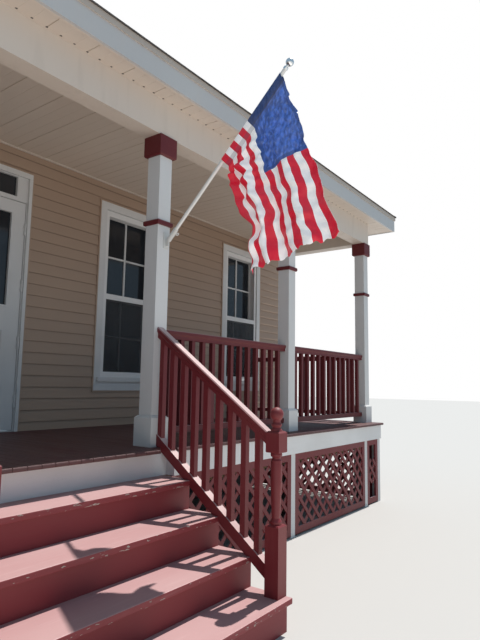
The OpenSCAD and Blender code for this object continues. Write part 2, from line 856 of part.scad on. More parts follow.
// The ends of the beam are scribed round the head casings of the outer windows
module porch_beam() {
    outer = end_x + beam_w / 2;
    color(cream) difference() {
        translate([-outer, post_y - beam_w / 2, beam_z])
            cube([2 * outer, -post_y + beam_w / 2, ceiling_z + ceiling_t - beam_z]);
        translate([-outer + beam_w, beam_in, beam_z - 1])
            cube([2 * (outer - beam_w), -beam_in + 1, ceiling_z + ceiling_t - beam_z + 2]);
        mirrored() translate([window_outer - window_w / 2 - seat, -casing_t - seat, beam_z - 1])
            cube([window_w + 2 * seat, casing_t + seat + 1, deck_z + window_high + seat - beam_z + 1]);
    }
}

module porch_ceiling() {
    inner = end_x - beam_w / 2;
    color([0.72, 0.64, 0.57]) translate([-inner, beam_in, ceiling_z])
        cube([2 * inner, -beam_in, ceiling_t]);
}

module porch_soffit() {
    outer = roof_half - fascia_t;
    inner = end_x + beam_w / 2;
    front = roof_y + fascia_t;
    color(cream) difference() {
        translate([-outer, front, ceiling_z]) cube([2 * outer, -front, ceiling_t]);
        translate([-inner, post_y - beam_w / 2, ceiling_z - 1])
            cube([2 * inner, -post_y + beam_w / 2 + 1, ceiling_t + 2]);
    }
}

module roof_fascia() {
    color(white) difference() {
        translate([-roof_half, roof_y, fascia_z]) cube([2 * roof_half, -roof_y, fascia_h]);
        translate([-roof_half + fascia_t, roof_y + fascia_t, fascia_z - 1])
            cube([2 * (roof_half - fascia_t), -roof_y, fascia_h + 2]);
    }
}

// Drip edge round the fascia, and the flashing where the roof meets the wall
module roof_flashing() {
    top = eave_z + roof_rise + boards_t + shingle_t;
    half = roof_half + roof_y;
    color(cream) difference() {
        translate([-roof_half - 8, roof_y - 8, eave_z - 26])
            cube([2 * roof_half + 16, -roof_y + 8, 22]);
        translate([-roof_half, roof_y, eave_z - 27])
            cube([2 * roof_half, -roof_y + 1, 28]);
    }
    color([0.8, 0.8, 0.78]) translate([-half, -4, top + 2]) cube([2 * half, 4, 70]);
}

// Solid under a hipped roof that starts at the eave and dies into the wall. Its surface is raised
// by lift above the line through the top of the fascia, and its edge lies out past the fascia.
module hip(out, lift) {
    half = roof_half + out;
    front = roof_y - out;
    low = eave_z - out * pitch + lift;
    top = low - front * pitch;
    intersection() {
        rotate([90, 0, 90]) linear_extrude(2 * half, center = true)
            polygon([[front, low - 400], [front, low], [0, top], [0, low - 400]]);
        rotate([90, 0, 0]) linear_extrude(-front) polygon([[-half, low - 400], [-half, low],
            [-half - front, top], [half + front, top], [half, low], [half, low - 400]]);
    }
}

// What lies under a roof layer, carried past its edges so that the cut is clean
module hip_below(out, lift) {
    half = roof_half + out + 50;
    front = roof_y - out - 50;
    low = eave_z - (out + 50) * pitch + lift;
    top = low - front * pitch;
    intersection() {
        rotate([90, 0, 90]) linear_extrude(2 * half, center = true)
            polygon([[front, low - 500], [front, low], [0, top], [10, top], [10, low - 500]]);
        translate([0, 10, 0]) rotate([90, 0, 0]) linear_extrude(-front + 10)
            polygon([[-half, low - 500], [-half, low], [-half - front, top], [half + front, top],
                [half, low], [half, low - 500]]);
    }
}

module roof_layer(out, lift, t) {
    difference() {
        hip(out, lift + t);
        hip_below(out, lift);
    }
}

module roof_boards() {
    color([0.6, 0.5, 0.4]) roof_layer(8, 0, boards_t);
}

module roof_shingles() {
    color([0.28, 0.26, 0.25]) roof_layer(drip, boards_t, shingle_t);
}

// Flag, pole and bracket on the inner post to the right of the stair

module along_pole() {
    translate([bracket_x, bracket_y - socket_out, deck_z + bracket_z])
        rotate([90 - pole_tilt, 0, 0]) children();
}

module flag_bracket() {
    color([0.85, 0.85, 0.84]) {
        difference() {
            union() {
                translate([bracket_x - 24, bracket_y - 5, deck_z + bracket_z - 62])
                    cube([48, 5, 116]);
                along_pole() translate([0, 0, -8]) cylinder(r = socket_r, h = socket_l + 8);
                translate([bracket_x - 5, bracket_y - socket_out, deck_z + bracket_z - 46])
                    cube([10, socket_out - 1, 46]);
            }
            along_pole() cylinder(r = pole_r + seat, h = socket_l + 10);
        }
        along_pole() translate([0, 0, socket_l * 0.62]) rotate([0, 90, 0])
            translate([0, 0, pole_r + seat + 1]) {
                cylinder(r = 4, h = 20);
                translate([0, 0, 26]) rotate([90, 0, 0]) difference() {
                    cylinder(r = 12, h = 5, center = true);
                    cylinder(r = 6, h = 7, center = true);
                }
            }
    }
}

module flag_pole() {
    color([0.93, 0.93, 0.92]) along_pole() translate([0, 0, seat])
        cylinder(r = pole_r, h = pole_l - seat);
}

module pole_finial() {
    color([0.85, 0.87, 0.9]) along_pole() translate([0, 0, pole_l]) rotate_extrude() union() {
        polygon([[0, 0], [pole_r + 3, 0], [pole_r + 3, 14], [9, 22], [9, 30], [0, 30]]);
        translate([0, 50]) intersection() {
            circle(r = 26);
            translate([0, -26]) square([26, 52]);
        }
    }
}

// Cloth hanging from the pole in the pole's upright plane, with the sleeve round the pole
module flag() {
    along = [-cos(pole_tilt), sin(pole_tilt)];
    down = [-sin(flag_lean), -cos(flag_lean)];
    low = flag_low * along;
    high = (flag_low + flag_hoist) * along;
    color([0.75, 0.12, 0.2]) difference() {
        union() {
            translate([bracket_x - flag_t / 2, bracket_y - socket_out, deck_z + bracket_z])
                rotate([90, 0, 90]) linear_extrude(flag_t)
                    polygon([low, high, high + flag_fly * down, low + 0.74 * flag_fly * down]);
            along_pole() translate([0, 0, flag_low]) cylinder(r = pole_r + 3, h = flag_hoist);
        }
        along_pole() cylinder(r = pole_r + seat, h = pole_l);
    }
}

foundation();
house_wall_left();
house_wall_right();
house_wall_over_door();
door_frame();
door_casing();
door_leaf_right();
door_glass_right();
door_handle_right();
door_leaf_left();
door_glass_left();
door_handle_left();
window_casings();
window_sashes();
window_glass();
window_screens();
deck_floor();
rim_boards();
deck_framing();
skirt_strips();
skirt_frames();
lattice_front();
lattice_ends();
stair_stringers();
stair_treads();
stair_risers();
newel_posts();
stair_rails();
porch_posts();
post_plinths();
post_collars();
post_capitals();
rails_left();
rails_right();
porch_beam();
porch_ceiling();
porch_soffit();
roof_fascia();
roof_flashing();
roof_boards();
roof_shingles();
flag_bracket();
flag_pole();
pole_finial();
flag();
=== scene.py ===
"""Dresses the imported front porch: boards, siding, beaded ceiling, shingles, window bars, flag and paint.

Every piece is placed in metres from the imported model's own boxes and from the sizes named below.
"""

import math

import bmesh
import bpy
import numpy as np
from mathutils import Matrix, Vector


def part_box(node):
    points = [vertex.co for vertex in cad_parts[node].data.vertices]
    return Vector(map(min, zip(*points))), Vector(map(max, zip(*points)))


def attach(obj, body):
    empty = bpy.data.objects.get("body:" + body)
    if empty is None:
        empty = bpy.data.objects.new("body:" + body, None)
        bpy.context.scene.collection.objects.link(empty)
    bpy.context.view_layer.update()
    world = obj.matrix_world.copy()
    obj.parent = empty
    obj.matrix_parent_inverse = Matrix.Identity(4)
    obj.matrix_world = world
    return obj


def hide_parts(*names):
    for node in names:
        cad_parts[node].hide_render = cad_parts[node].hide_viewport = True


bl_info = {
    "name": "Front Porch Dressing",
    "version": (1, 0, 0),
    "blender": (4, 5, 0),
    "location": "View3D > Sidebar > Porch",
    "description": "Boards, siding, shingles, trim, flag and paint for a front porch",
    "category": "Add Mesh",
}

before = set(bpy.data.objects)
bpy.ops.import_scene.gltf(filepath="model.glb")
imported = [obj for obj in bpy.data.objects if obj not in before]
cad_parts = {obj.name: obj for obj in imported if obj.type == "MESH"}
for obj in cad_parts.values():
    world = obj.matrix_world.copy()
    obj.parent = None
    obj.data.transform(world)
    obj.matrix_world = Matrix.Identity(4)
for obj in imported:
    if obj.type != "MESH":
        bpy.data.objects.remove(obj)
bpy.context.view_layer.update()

# Porch, in metres: X runs along the house from the middle of the stair, -Y to the street and Z up
BAY = 1.830
SIDE_BAY = 1.795
SIDE_BAYS = 2
END_X = BAY / 2 + SIDE_BAYS * SIDE_BAY
POST_Y = -1.587
BEAM_HALF = 0.070
BEAM_IN = POST_Y + BEAM_HALF
BEAM_OUT = POST_Y - BEAM_HALF

# Floor: its top, thickness and front edge, and the notch in that edge at each side of the stair
DECK_Z = 0.915
FLOOR_T = 0.025
FRONT_Y = -1.815
NOTCH = (0.790, 0.946)
NOSING_R = 0.009
BOARD_EASE = 0.0015

# Stair: the header's face behind it, its steps, and how far a tread stands out and is tucked in
HEADER_Y = -1.718
TREADS = 4
RUN = 0.245
RISE = 0.183
TREAD_T = 0.032
TREAD_OUT = 0.032
TREAD_TUCK = 0.018

# Windows: the middles of the inner and outer ones, the casing, the sashes and the frame before them
WINDOW_X = (2.090, 4.112)
WINDOWS = [side * x for x in WINDOW_X for side in (-1, 1)]
WINDOW_W = 0.860
WINDOW_Z = (1.265, 3.193)
SASH_X = 0.349
SASH_Z = (1.396, 3.112)
SASH_W = 0.048
MEETING_Z = 2.219
UPPER_Y = 0.080
LOWER_Y = 0.114
BAR_DEPTH = 0.008
BAR_BACK = 0.009
BAR_LAP = 0.004
SCREEN_Y = (-0.008, 0.004)
SCREEN_SIDE = 0.040
SCREEN_RAIL = 0.056
RAIL_THIN = 0.0015
FRAME_LAP = 0.001
MESH_Y = (-0.0025, -0.0015)

# Wall: the door's casing, the siding's depth at the head of a course, its tuck, channels and corners
DOOR_TRIM_X = 0.878
DOOR_TRIM_Z = 3.194
SIDING_HEAD = 0.0025
SIDING_TUCK = 0.010
CHANNEL_W = 0.014
CHANNEL_OUT = 0.020
CORNER_W = 0.085
CORNER_T = 0.015

# Ceiling: its face, the panels' thickness, the first groove, and a groove's half width and depth
CEILING_Z = 3.395
PANEL_T = 0.012
CEILING_START = 0.400
SOFFIT_START = 0.166
BEAD_GROOVE = (0.0035, 0.0016)
SEAM_GROOVE = (0.0045, 0.0070)
STRIP = 0.022

# Roof: the edges of its boards, their height there and thickness, and how far out the shingles reach
ROOF_X = 5.030
ROOF_Y = -1.836
ROOF_Z = 3.568
ROOF_PITCH = 0.25
ROOF_BOARD_T = 0.018
SOFFIT_IN = 0.020
EAVE_OUT = 0.022
EAVE_X = ROOF_X + EAVE_OUT
EAVE_Y = ROOF_Y - EAVE_OUT
TAB_GAP = 0.005
TAB_LEAST = 0.004
TAB_LONG = 1.15
CAP_STEP = 0.100
CAP_L = 0.125
CAP_HALF = 0.085
CAP_T = 0.004
DRIP_OUT = 0.0105
DRIP_T = 0.002
DRIP_DOWN = 0.030
DRIP_UP = 0.014

# Flag: the pole's foot and tilt, the span of it that the cloth covers, the sleeve, and the cloth's foot
POLE_FOOT = (0.937, -1.6815, 2.367)
POLE_TILT = math.radians(45)
HOIST = (0.674, 1.324)
SLEEVE_R = 0.0148
SLEEVE_L = 0.070
FOOT_Y = (-2.400, -3.000)
FOOT_Z = (2.045, 2.210)

# Camera: where it stands, its yaw, pitch and roll in degrees, and its lens and film in millimetres
EYE = (-1.8035, -4.3349, 1.3416)
LOOK = (53.71, 6.84, 0.94)
LENS = 30.44
FILM = 36.0


# Surfaces worked out as whole arrays


def place(name, data):
    """Adds an object with the given data to the scene."""
    obj = bpy.data.objects.new(name, data)
    bpy.context.scene.collection.objects.link(obj)
    return obj


def make(name, points, faces, uv=None, smooth=False):
    """Makes a mesh object at the origin from an array of points and an array or list of faces."""
    mesh = bpy.data.meshes.new(name)
    mesh.from_pydata(np.asarray(points, float).reshape(-1, 3).tolist(), [], [list(f) for f in faces])
    mesh.validate()
    if uv is not None:
        layer = mesh.uv_layers.new(name="UVMap")
        corner = np.zeros(len(mesh.loops), int)
        mesh.loops.foreach_get("vertex_index", corner)
        layer.data.foreach_set("uv", np.asarray(uv, float).reshape(-1, 2)[corner].ravel())
    if smooth:
        mesh.polygons.foreach_set("use_smooth", [True] * len(mesh.polygons))
    return place(name, mesh)


def prisms(outlines, starts, along):
    """Many straight bars. Bar i is its outline of k points, placed at starts[i], carried by along[i].

    outlines has shape (n, k, 3) and holds points round the section, and starts and along are (n, 3).
    The surface is outline + start + t * along for t from 0 to 1, closed by a flat face at each end.
    """
    outlines, starts, along = (np.asarray(a, float) for a in (outlines, starts, along))
    n, k = len(starts), outlines.shape[1]
    near = outlines + starts[:, None, :]
    far = near + along[:, None, :]
    points = np.concatenate([near, far], axis=1).reshape(-1, 3)
    ring = np.arange(k)
    sides = np.stack([ring, np.roll(ring, -1), np.roll(ring, -1) + k, ring + k], axis=1)
    base = (np.arange(n) * 2 * k)[:, None, None]
    quads = (sides[None] + base).reshape(-1, 4).tolist()
    caps = np.stack([ring[::-1], ring + k])[None] + base
    return points, quads + caps.reshape(-1, k).tolist()


def join(parts):
    """Joins lists of (points, faces) into one, counting the faces' points on."""
    points, faces, count = [], [], 0
    for p, f in parts:
        points.append(np.asarray(p, float).reshape(-1, 3))
        faces.extend([[v + count for v in face] for face in f])
        count += len(points[-1])
    return np.concatenate(points), faces


def boxes(corners):
    """Many plain boxes, each given by its lowest corner and its highest."""
    lows, highs = np.asarray(corners, float).transpose(1, 0, 2)
    size = highs - lows
    square = np.array([[0, 0, 0], [0, 1, 0], [0, 1, 1], [0, 0, 1]], float)
    return prisms(square[None] * size[:, None, :], lows, size * np.array([1, 0, 0]))


def sheet_grid(points):
    """Faces of a grid of points with shape (rows, columns, 3), and the points in one list."""
    rows, columns = points.shape[:2]
    index = np.arange(rows * columns).reshape(rows, columns)
    faces = np.stack([index[:-1, :-1], index[:-1, 1:], index[1:, 1:], index[1:, :-1]], axis=-1)
    return points.reshape(-1, 3), faces.reshape(-1, 4).tolist()


def loft(rings):
    """A closed skin through rings of points with shape (rings, k, 3), capped at both ends."""
    count, k = rings.shape[:2]
    index = np.arange(count * k).reshape(count, k)
    around = np.roll(index, -1, axis=1)
    faces = np.stack([index[:-1], around[:-1], around[1:], index[1:]], axis=-1).reshape(-1, 4).tolist()
    return rings.reshape(-1, 3), faces + [index[0][::-1].tolist(), index[-1].tolist()]


def bevel(obj, width, segments=2):
    """Rounds the edges of a piece."""
    mod = obj.modifiers.new("edge", "BEVEL")
    mod.width = width
    mod.segments = segments
    mod.limit_method = "ANGLE"
    mod.angle_limit = math.radians(40)
    return obj


def outward(obj):
    """Turns every face of a closed piece outwards."""
    work = bmesh.new()
    work.from_mesh(obj.data)
    bmesh.ops.recalc_face_normals(work, faces=work.faces)
    work.to_mesh(obj.data)
    work.free()
    return obj


# Shader maths


def toned(colour, share):
    """The colour with every channel times a share: darker below 1 and paler above it."""
    return tuple(channel * share for channel in colour)


class Wire:
    """A number in a tree of nodes. Python's operators on it add Math nodes."""

    def __init__(self, nodes, socket):
        self.nodes = nodes
        self.socket = socket

    def math(self, operation, *others):
        """One operation of the Math node on this number and the others."""
        return self.nodes.node("ShaderNodeMath", {"operation": operation}, dict(enumerate((self, *others))))

    def __add__(self, other):
        return self.math("ADD", other)

    __radd__ = __add__

    def __sub__(self, other):
        return self.math("SUBTRACT", other)

    def __rsub__(self, other):
        return (self * -1.0) + other

    def __mul__(self, other):
        return self.math("MULTIPLY", other)

    __rmul__ = __mul__

    def __truediv__(self, other):
        return self.math("DIVIDE", other)

    def __abs__(self):
        return self.math("ABSOLUTE")

    def __gt__(self, other):
        return self.math("GREATER_THAN", other)

    def __lt__(self, other):
        return self.math("LESS_THAN", other)

    def floor(self):
        """The whole number at or below."""
        return self.math("FLOOR")

    def part(self):
        """What is left above the whole number."""
        return self.math("FRACT")

    def clamp(self):
        """Held between 0 and 1."""
        return self.math("MAXIMUM", 0.0).math("MINIMUM", 1.0)

    def rise(self, low, high):
        """Smoothly 0 at low to 1 at high."""
        spec = {"interpolation_type": "SMOOTHSTEP"}
        return self.nodes.node("ShaderNodeMapRange", spec, {0: self, 1: low, 2: high, 3: 0.0, 4: 1.0})


class Nodes:
    """A tree of nodes, emptied first."""

    def __init__(self, tree):
        self.tree = tree
        self.tree.nodes.clear()

    def node(self, kind, settings=None, values=None, output=0):
        """Adds a node of any kind, sets it up, feeds its sockets, and gives back one output."""
        node = self.tree.nodes.new(kind)
        for key, value in (settings or {}).items():
            setattr(node, key, value)
        for key, value in (values or {}).items():
            socket = node.inputs[key]
            if isinstance(value, Wire):
                self.tree.links.new(value.socket, socket)
            elif socket.type == "RGBA" and len(value) == 3:
                socket.default_value = (*value, 1.0)
            else:
                socket.default_value = value
        return Wire(self, node.outputs[output])

    def end(self, kind, shader):
        """Closes the tree with its output node."""
        node = self.tree.nodes.new(kind)
        self.tree.links.new(shader.socket, node.inputs["Surface"])


class Paint(Nodes):
    """One material and its nodes."""

    def __init__(self, name):
        self.material = bpy.data.materials.new(name)
        self.material.use_nodes = True
        super().__init__(self.material.node_tree)
        self.coords = self.node("ShaderNodeTexCoord", {}, {}, "Object")

    def axis(self, which):
        """The object coordinate X, Y or Z."""
        return self.node("ShaderNodeSeparateXYZ", {}, {0: self.coords}, "XYZ".index(which))

    def noise(self, scale, size=(1, 1, 1), detail=2.0):
        """Cloudy numbers from 0 to 1, about 0.5. Size stretches them along an axis."""
        shrink = tuple(1.0 / s for s in size)
        near = self.node("ShaderNodeVectorMath", {"operation": "MULTIPLY"}, {0: self.coords, 1: shrink})
        return self.node("ShaderNodeTexNoise", {}, {"Vector": near, "Scale": scale, "Detail": detail})

    def dice(self, value):
        """A number from 0 to 1 that is the same for equal values."""
        return self.node("ShaderNodeTexWhiteNoise", {"noise_dimensions": "1D"}, {"W": value})

    def mix(self, factor, a, b):
        """Colour a where factor is 0 and colour b where it is 1."""
        return self.node("ShaderNodeMix", {"data_type": "RGBA"}, {0: factor, 6: a, 7: b}, 2)

    def finish(self, colour, roughness, height=None, depth=0.001, **fixed):
        """Ends the material in a shader, with a bump of the given depth in metres."""
        values = {"Base Color": colour, "Roughness": roughness}
        values.update({k.replace("_", " "): v for k, v in fixed.items()})
        if height is not None:
            values["Normal"] = self.node("ShaderNodeBump", {}, {"Height": height, "Distance": depth})
        self.end("ShaderNodeOutputMaterial", self.node("ShaderNodeBsdfPrincipled", {}, values))
        return self.material


# How grain is drawn out along the length of a board that runs on each axis
LONG = {"x": (12, 1, 1), "y": (1, 12, 1), "z": (1, 1, 12)}


def painted_wood(name, colour, worn, along="z", grain=1.0, dirt=0.35, dust_and_sheen=None):
    """Brush-painted wood: streaks along the grain, fading and grime, and on what faces up a paler tone that
    is partly dusty and partly painted sheen.
    """
    p = Paint(name)
    patches = p.noise(1.6, detail=3.0).rise(0.35, 0.75)
    streaks = p.noise(60.0, LONG[along], 3.0)
    specks = p.noise(140.0).rise(0.66, 0.74)
    tone = p.mix(patches * dirt, colour, worn)
    tone = p.mix(streaks.rise(0.45, 0.8) * 0.16 * grain, tone, worn)
    tone = p.mix(specks * 0.22, tone, toned(colour, 0.45))
    if dust_and_sheen:
        # Faces that point up are painted paler: partly because they are dusty, partly as painted sunlit
        # sheen.
        facing = p.node("ShaderNodeNewGeometry", {}, {}, "Normal")
        up = p.node("ShaderNodeSeparateXYZ", {}, {0: facing}, 2).rise(0.5, 0.85)
        tone = p.mix(up * (0.9 - patches * 0.25), tone, dust_and_sheen)
    rough = 0.42 + patches * 0.16 + streaks * 0.08
    return p.finish(tone, rough, streaks * 0.7 + specks * 0.3, 0.0006 * grain, Specular_IOR_Level=0.35)


def deck_boards(name, colour, worn, pitch):
    """Floor paint, a slightly different tone on each board, rubbed paler where people walk."""
    p = Paint(name)
    x, y = p.axis("X"), p.axis("Y")
    board = p.dice((x / pitch).floor())
    streaks = p.noise(50.0, LONG["y"], 3.0)
    walk_half, walk_y, walk_deep = 1.5, -0.95, 1.0
    trodden = (1.0 - abs(x) / walk_half).clamp() * (1.0 - abs(y - walk_y) / walk_deep).clamp()
    scuffs = p.noise(3.0, (1, 2.0, 1), 4.0).rise(0.42, 0.75)
    tone = p.mix(board * 0.30, colour, toned(colour, 0.74))
    tone = p.mix(scuffs * (0.10 + trodden * 0.22) + streaks.rise(0.5, 0.8) * 0.10, tone, worn)
    rough = 0.58 + scuffs * 0.12 - board * 0.06
    return p.finish(tone, rough, streaks + scuffs * 0.3, 0.0008)


def stair_paint(name, colour, dust_and_sheen, wood):
    """Tread paint, faded, dusty and painted with sheen on top, chipped to pale wood along the foot of each
    front edge.
    """
    p = Paint(name)
    x, y, z = p.axis("X"), p.axis("Y"), p.axis("Z")
    front = 1.0 - ((y - HEADER_Y + TREAD_OUT) / RUN).part().rise(0.0, 0.06)
    level = (z / RISE + 0.5).part() - 0.5
    top = 1.0 - abs(level).rise(0.004, 0.016)
    foot = 1.0 - abs(level + 0.16).rise(0.02, 0.05)
    middle = (1.0 - abs(x + 0.1) / 1.1).clamp().rise(0.0, 0.3)
    streaks = p.noise(50.0, LONG["x"], 3.0)
    flakes = p.noise(90.0, (4.0, 1, 1), 4.0)
    chips = (flakes - 0.64 + foot * 0.03).rise(0.0, 0.02) * front * (1.0 - top) * middle
    patches = p.noise(2.2, (2.5, 1, 1), 3.0).rise(0.3, 0.75)
    specks = p.noise(120.0).rise(0.70, 0.76)
    # The tops are painted paler: dusty and faded, with painted sunlit sheen.
    tone = p.mix(top * (0.82 - patches * 0.22) + streaks.rise(0.5, 0.8) * 0.08, colour, dust_and_sheen)
    tone = p.mix(specks * top * 0.35, tone, colour)
    tone = p.mix(chips, tone, wood)
    rough = 0.55 + patches * 0.12 + chips * 0.3
    return p.finish(tone, rough, streaks * 0.5 - chips, 0.0007)


def siding_finish(name, colour, worn, pitch, base):
    """Lap siding with a faint embossed grain, and painted shade at the head of each course, under the lap
    above.
    """
    p = Paint(name)
    course = (p.axis("Z") - base) / pitch
    under = 1.0 - (1.0 - course.part()).rise(0.0, 0.1)
    grain = p.noise(45.0, LONG["x"], 4.0)
    clouds = p.noise(1.1, (2, 1, 1), 3.0).rise(0.3, 0.75)
    tone = p.mix(clouds * 0.4 + p.dice(course.floor()) * 0.12, colour, worn)
    # The head of each course, under the lap above, is painted darker: painted shade.
    tone = p.mix(under * 0.5, tone, toned(colour, 0.55))
    return p.finish(tone, 0.5 + clouds * 0.12, grain, 0.0007)


def panel_finish(name, colour, worn, along):
    """Thin moulded panels, satin, with faint waves and dusty patches."""
    p = Paint(name)
    clouds = p.noise(1.5, LONG[along], 2.0).rise(0.3, 0.75)
    waves = p.noise(5.0, detail=1.0)
    specks = p.noise(160.0).rise(0.68, 0.75)
    tone = p.mix(clouds * 0.35 + specks * 0.1, colour, worn)
    return p.finish(tone, 0.38 + clouds * 0.12, waves, 0.002)


def coated_metal(name, colour, worn, roughness):
    """Painted sheet metal with slight dents and water marks."""
    p = Paint(name)
    dents = p.noise(7.0, (2, 2, 1), 1.0)
    marks = p.noise(12.0, (1, 1, 5), 3.0).rise(0.5, 0.75)
    tone = p.mix(marks * 0.3, colour, worn)
    return p.finish(tone, roughness + marks * 0.15, dents, 0.0015)


def bare_metal(name, colour, roughness):
    """Polished or cast metal with fine scratches."""
    p = Paint(name)
    marks = p.noise(90.0, (1, 1, 6), 3.0)
    return p.finish(colour, roughness + marks * 0.2, marks, 0.0002, Metallic=1.0)


def bare_wood(name, colour, dark, along):
    """Sawn softwood with streaked grain."""
    p = Paint(name)
    grain = p.noise(40.0, LONG[along], 5.0)
    clouds = p.noise(2.0)
    tone = p.mix(grain.rise(0.35, 0.7), colour, dark)
    return p.finish(tone, 0.7 + clouds * 0.2, grain, 0.001)


def block_finish(name, colour, joint):
    """Rough cast blocks 400 mm long and 200 mm high with recessed joints, each its own tone."""
    p = Paint(name)
    block_l, block_h, joint_half = 0.4, 0.2, 0.006
    up = p.axis("Z") / block_h
    row = up.floor()
    across = p.axis("X") / block_l + row * 0.5
    gap_x = (abs(across.part() - 0.5) * block_l - (block_l / 2 - joint_half)).rise(0.0, 0.004)
    gap_z = (abs(up.part() - 0.5) * block_h - (block_h / 2 - joint_half)).rise(0.0, 0.004)
    gap = (gap_x + gap_z).clamp()
    grit = p.noise(55.0, detail=4.0)
    tone = p.mix(p.dice(across.floor() + row * 17.0) * 0.3, colour, toned(colour, 0.75))
    tone = p.mix(gap * 0.7, tone, joint)
    return p.finish(tone, 0.85 + grit * 0.1, grit * 0.4 - gap, 0.004)


def shingle_finish(name, colour, pale):
    """Mineral granules, with tabs of mixed tone."""
    p = Paint(name)
    tab = p.node("ShaderNodeAttribute", {"attribute_name": "tab"}, {}, 2)
    grit = p.noise(260.0, detail=3.0)
    clouds = p.noise(3.0, detail=3.0)
    tone = p.mix(tab * 0.7, colour, pale)
    tone = p.mix(grit.rise(0.45, 0.7) * 0.5, tone, toned(colour, 0.4))
    tone = p.mix(clouds.rise(0.5, 0.8) * 0.3, tone, toned(colour, 0.6))
    return p.finish(tone, 0.92 - tab * 0.05, grit, 0.001)


def dark_glass(name, colour):
    """Glass in front of a dark room: nearly black, with clear reflections and a slight wave."""
    p = Paint(name)
    waves = p.noise(3.0, detail=1.0)
    smears = p.noise(9.0, (1, 1, 2), 3.0).rise(0.5, 0.8)
    tone = p.mix(smears * 0.35, colour, tuple(c * 1.7 + 0.01 for c in colour))
    return p.finish(tone, 0.06 + smears * 0.06, waves, 0.0008)


def insect_screen(name, colour):
    """Woven wire that the window behind shows through."""
    p = Paint(name)
    clouds = p.noise(3.0)
    weave = p.noise(400.0, detail=1.0)
    return p.finish(colour, 0.6 + clouds * 0.1, weave, 0.0002, Alpha=0.55)


def flag_finish(name, red, white, blue):
    """Thirteen stripes along the fly and a canton with tone-on-tone stars, on the cloth's own UV map.

    u runs from the hoist to the fly and v from the lower edge of the cloth to the upper. The canton is dark
    where its hem doubles the cloth, with painted shade there, and darker where it goes round the sleeve, at
    u below 0, with painted shade in the fold. Puckers in the canton are painted lighter and darker as
    highlights and shade, and the cloth glows a little as painted light through it.
    """
    p = Paint(name)
    place_uv = p.node("ShaderNodeUVMap", {"uv_map": "UVMap"})
    u, v = (p.node("ShaderNodeSeparateXYZ", {}, {0: place_uv}, i) for i in (0, 1))
    stripes, canton_u, canton_v = 13.0, 0.43, 6.0 / 13.0
    stripe = ((v * stripes).floor() / 2.0).part() > 0.25
    cloth = p.mix(stripe, red, white)
    canton = (u < canton_u) * (v > canton_v)
    column = u / canton_u * 12.0
    row = (v - canton_v) / (1.0 - canton_v) * 10.0
    inside = (column > 0.5) * (column < 11.5) * (row > 0.5) * (row < 9.5)
    shift_x = abs((column + 0.5).part() - 0.5)
    shift_y = abs((row + 0.5).part() - 0.5)
    even = (((column + 0.5).floor() + (row + 0.5).floor()) / 2.0).part() < 0.25
    star = (1.0 - (shift_x * shift_x + shift_y * shift_y).rise(0.03, 0.12)) * even * inside
    crush = p.noise(24.0)
    pucker_and_shading = p.noise(52.0, (1, 1, 2.4), 3.0)
    # The canton is painted lighter and darker with its puckers: painted highlights and shade.
    field = p.mix(pucker_and_shading.rise(0.35, 0.68), toned(blue, 0.68), toned(blue, 1.4))
    field = p.mix(star * 0.10, field, (0.5, 0.6, 0.85))
    hem_u, hem_v = 0.026, 0.045
    inner = (u < canton_u - hem_u) * (v > canton_v + hem_v) * (v < 1.0 - hem_v)
    # The hem is darker: the doubled cloth and painted shade.
    field = p.mix((1.0 - inner) * 0.6, field, toned(blue, 0.4))
    # The sleeve is darker still: the doubled cloth and painted shade in the fold.
    field = p.mix((u < 0.0) * 0.85, field, toned(blue, 0.22))
    tone = p.mix(canton, cloth, field)
    # A dark line at the sleeve's seam: stitching and painted shade in the fold.
    stitch_and_fold_shade = 1.0 - abs(u + 0.002).rise(0.002, 0.006)
    tone = p.mix(stitch_and_fold_shade * 0.35, tone, (0.05, 0.05, 0.08))
    weave = {"Vector": place_uv, "Scale": 260.0, "Distortion": 0.4}
    threads = p.node("ShaderNodeTexWave", {"bands_direction": "Y"}, weave, 1)
    dirt = p.noise(5.0, detail=3.0).rise(0.45, 0.8)
    tone = p.mix(dirt * 0.08, tone, (0.35, 0.32, 0.3))
    height = crush * 0.6 + pucker_and_shading * (0.12 + canton * 0.5) + star * canton * 0.12 + threads * 0.02
    # The cloth glows a little in its own colours: painted light standing for sun through the cloth.
    return p.finish(tone, 0.36 + dirt * 0.15, height, 0.012, Emission_Color=tone, Emission_Strength=0.22)


# What a user would change


def length_property(label, words, value):
    """A length in metres."""
    return bpy.props.FloatProperty(name=label, description=words, default=value, unit="LENGTH")


class PorchSizes(bpy.types.PropertyGroup):
    """Sizes of the boards and courses that dress the porch."""

    floor_board: length_property("Floor board", "Width of a floor board", 0.0826)
    floor_gap: length_property("Floor joint", "Width of the joint between floor boards", 0.003)
    course: length_property("Siding course", "Height of a siding course", 0.1016)
    siding_butt: length_property("Siding butt", "Depth of a course at its lower edge", 0.014)
    bead: length_property("Ceiling bead", "Distance between ceiling grooves", 0.0965)
    tab: length_property("Shingle tab", "Width of a shingle tab", 0.305)
    exposure: length_property("Shingle course", "Shown depth of a shingle course", 0.143)
    bar: length_property("Window bar", "Width of the bars in a window", 0.020)


def colour_property(label, words, value):
    """A colour as three linear values from 0 to 1."""
    return bpy.props.FloatVectorProperty(
        name=label, description=words, subtype="COLOR", size=3, min=0.0, max=1.0, default=value
    )


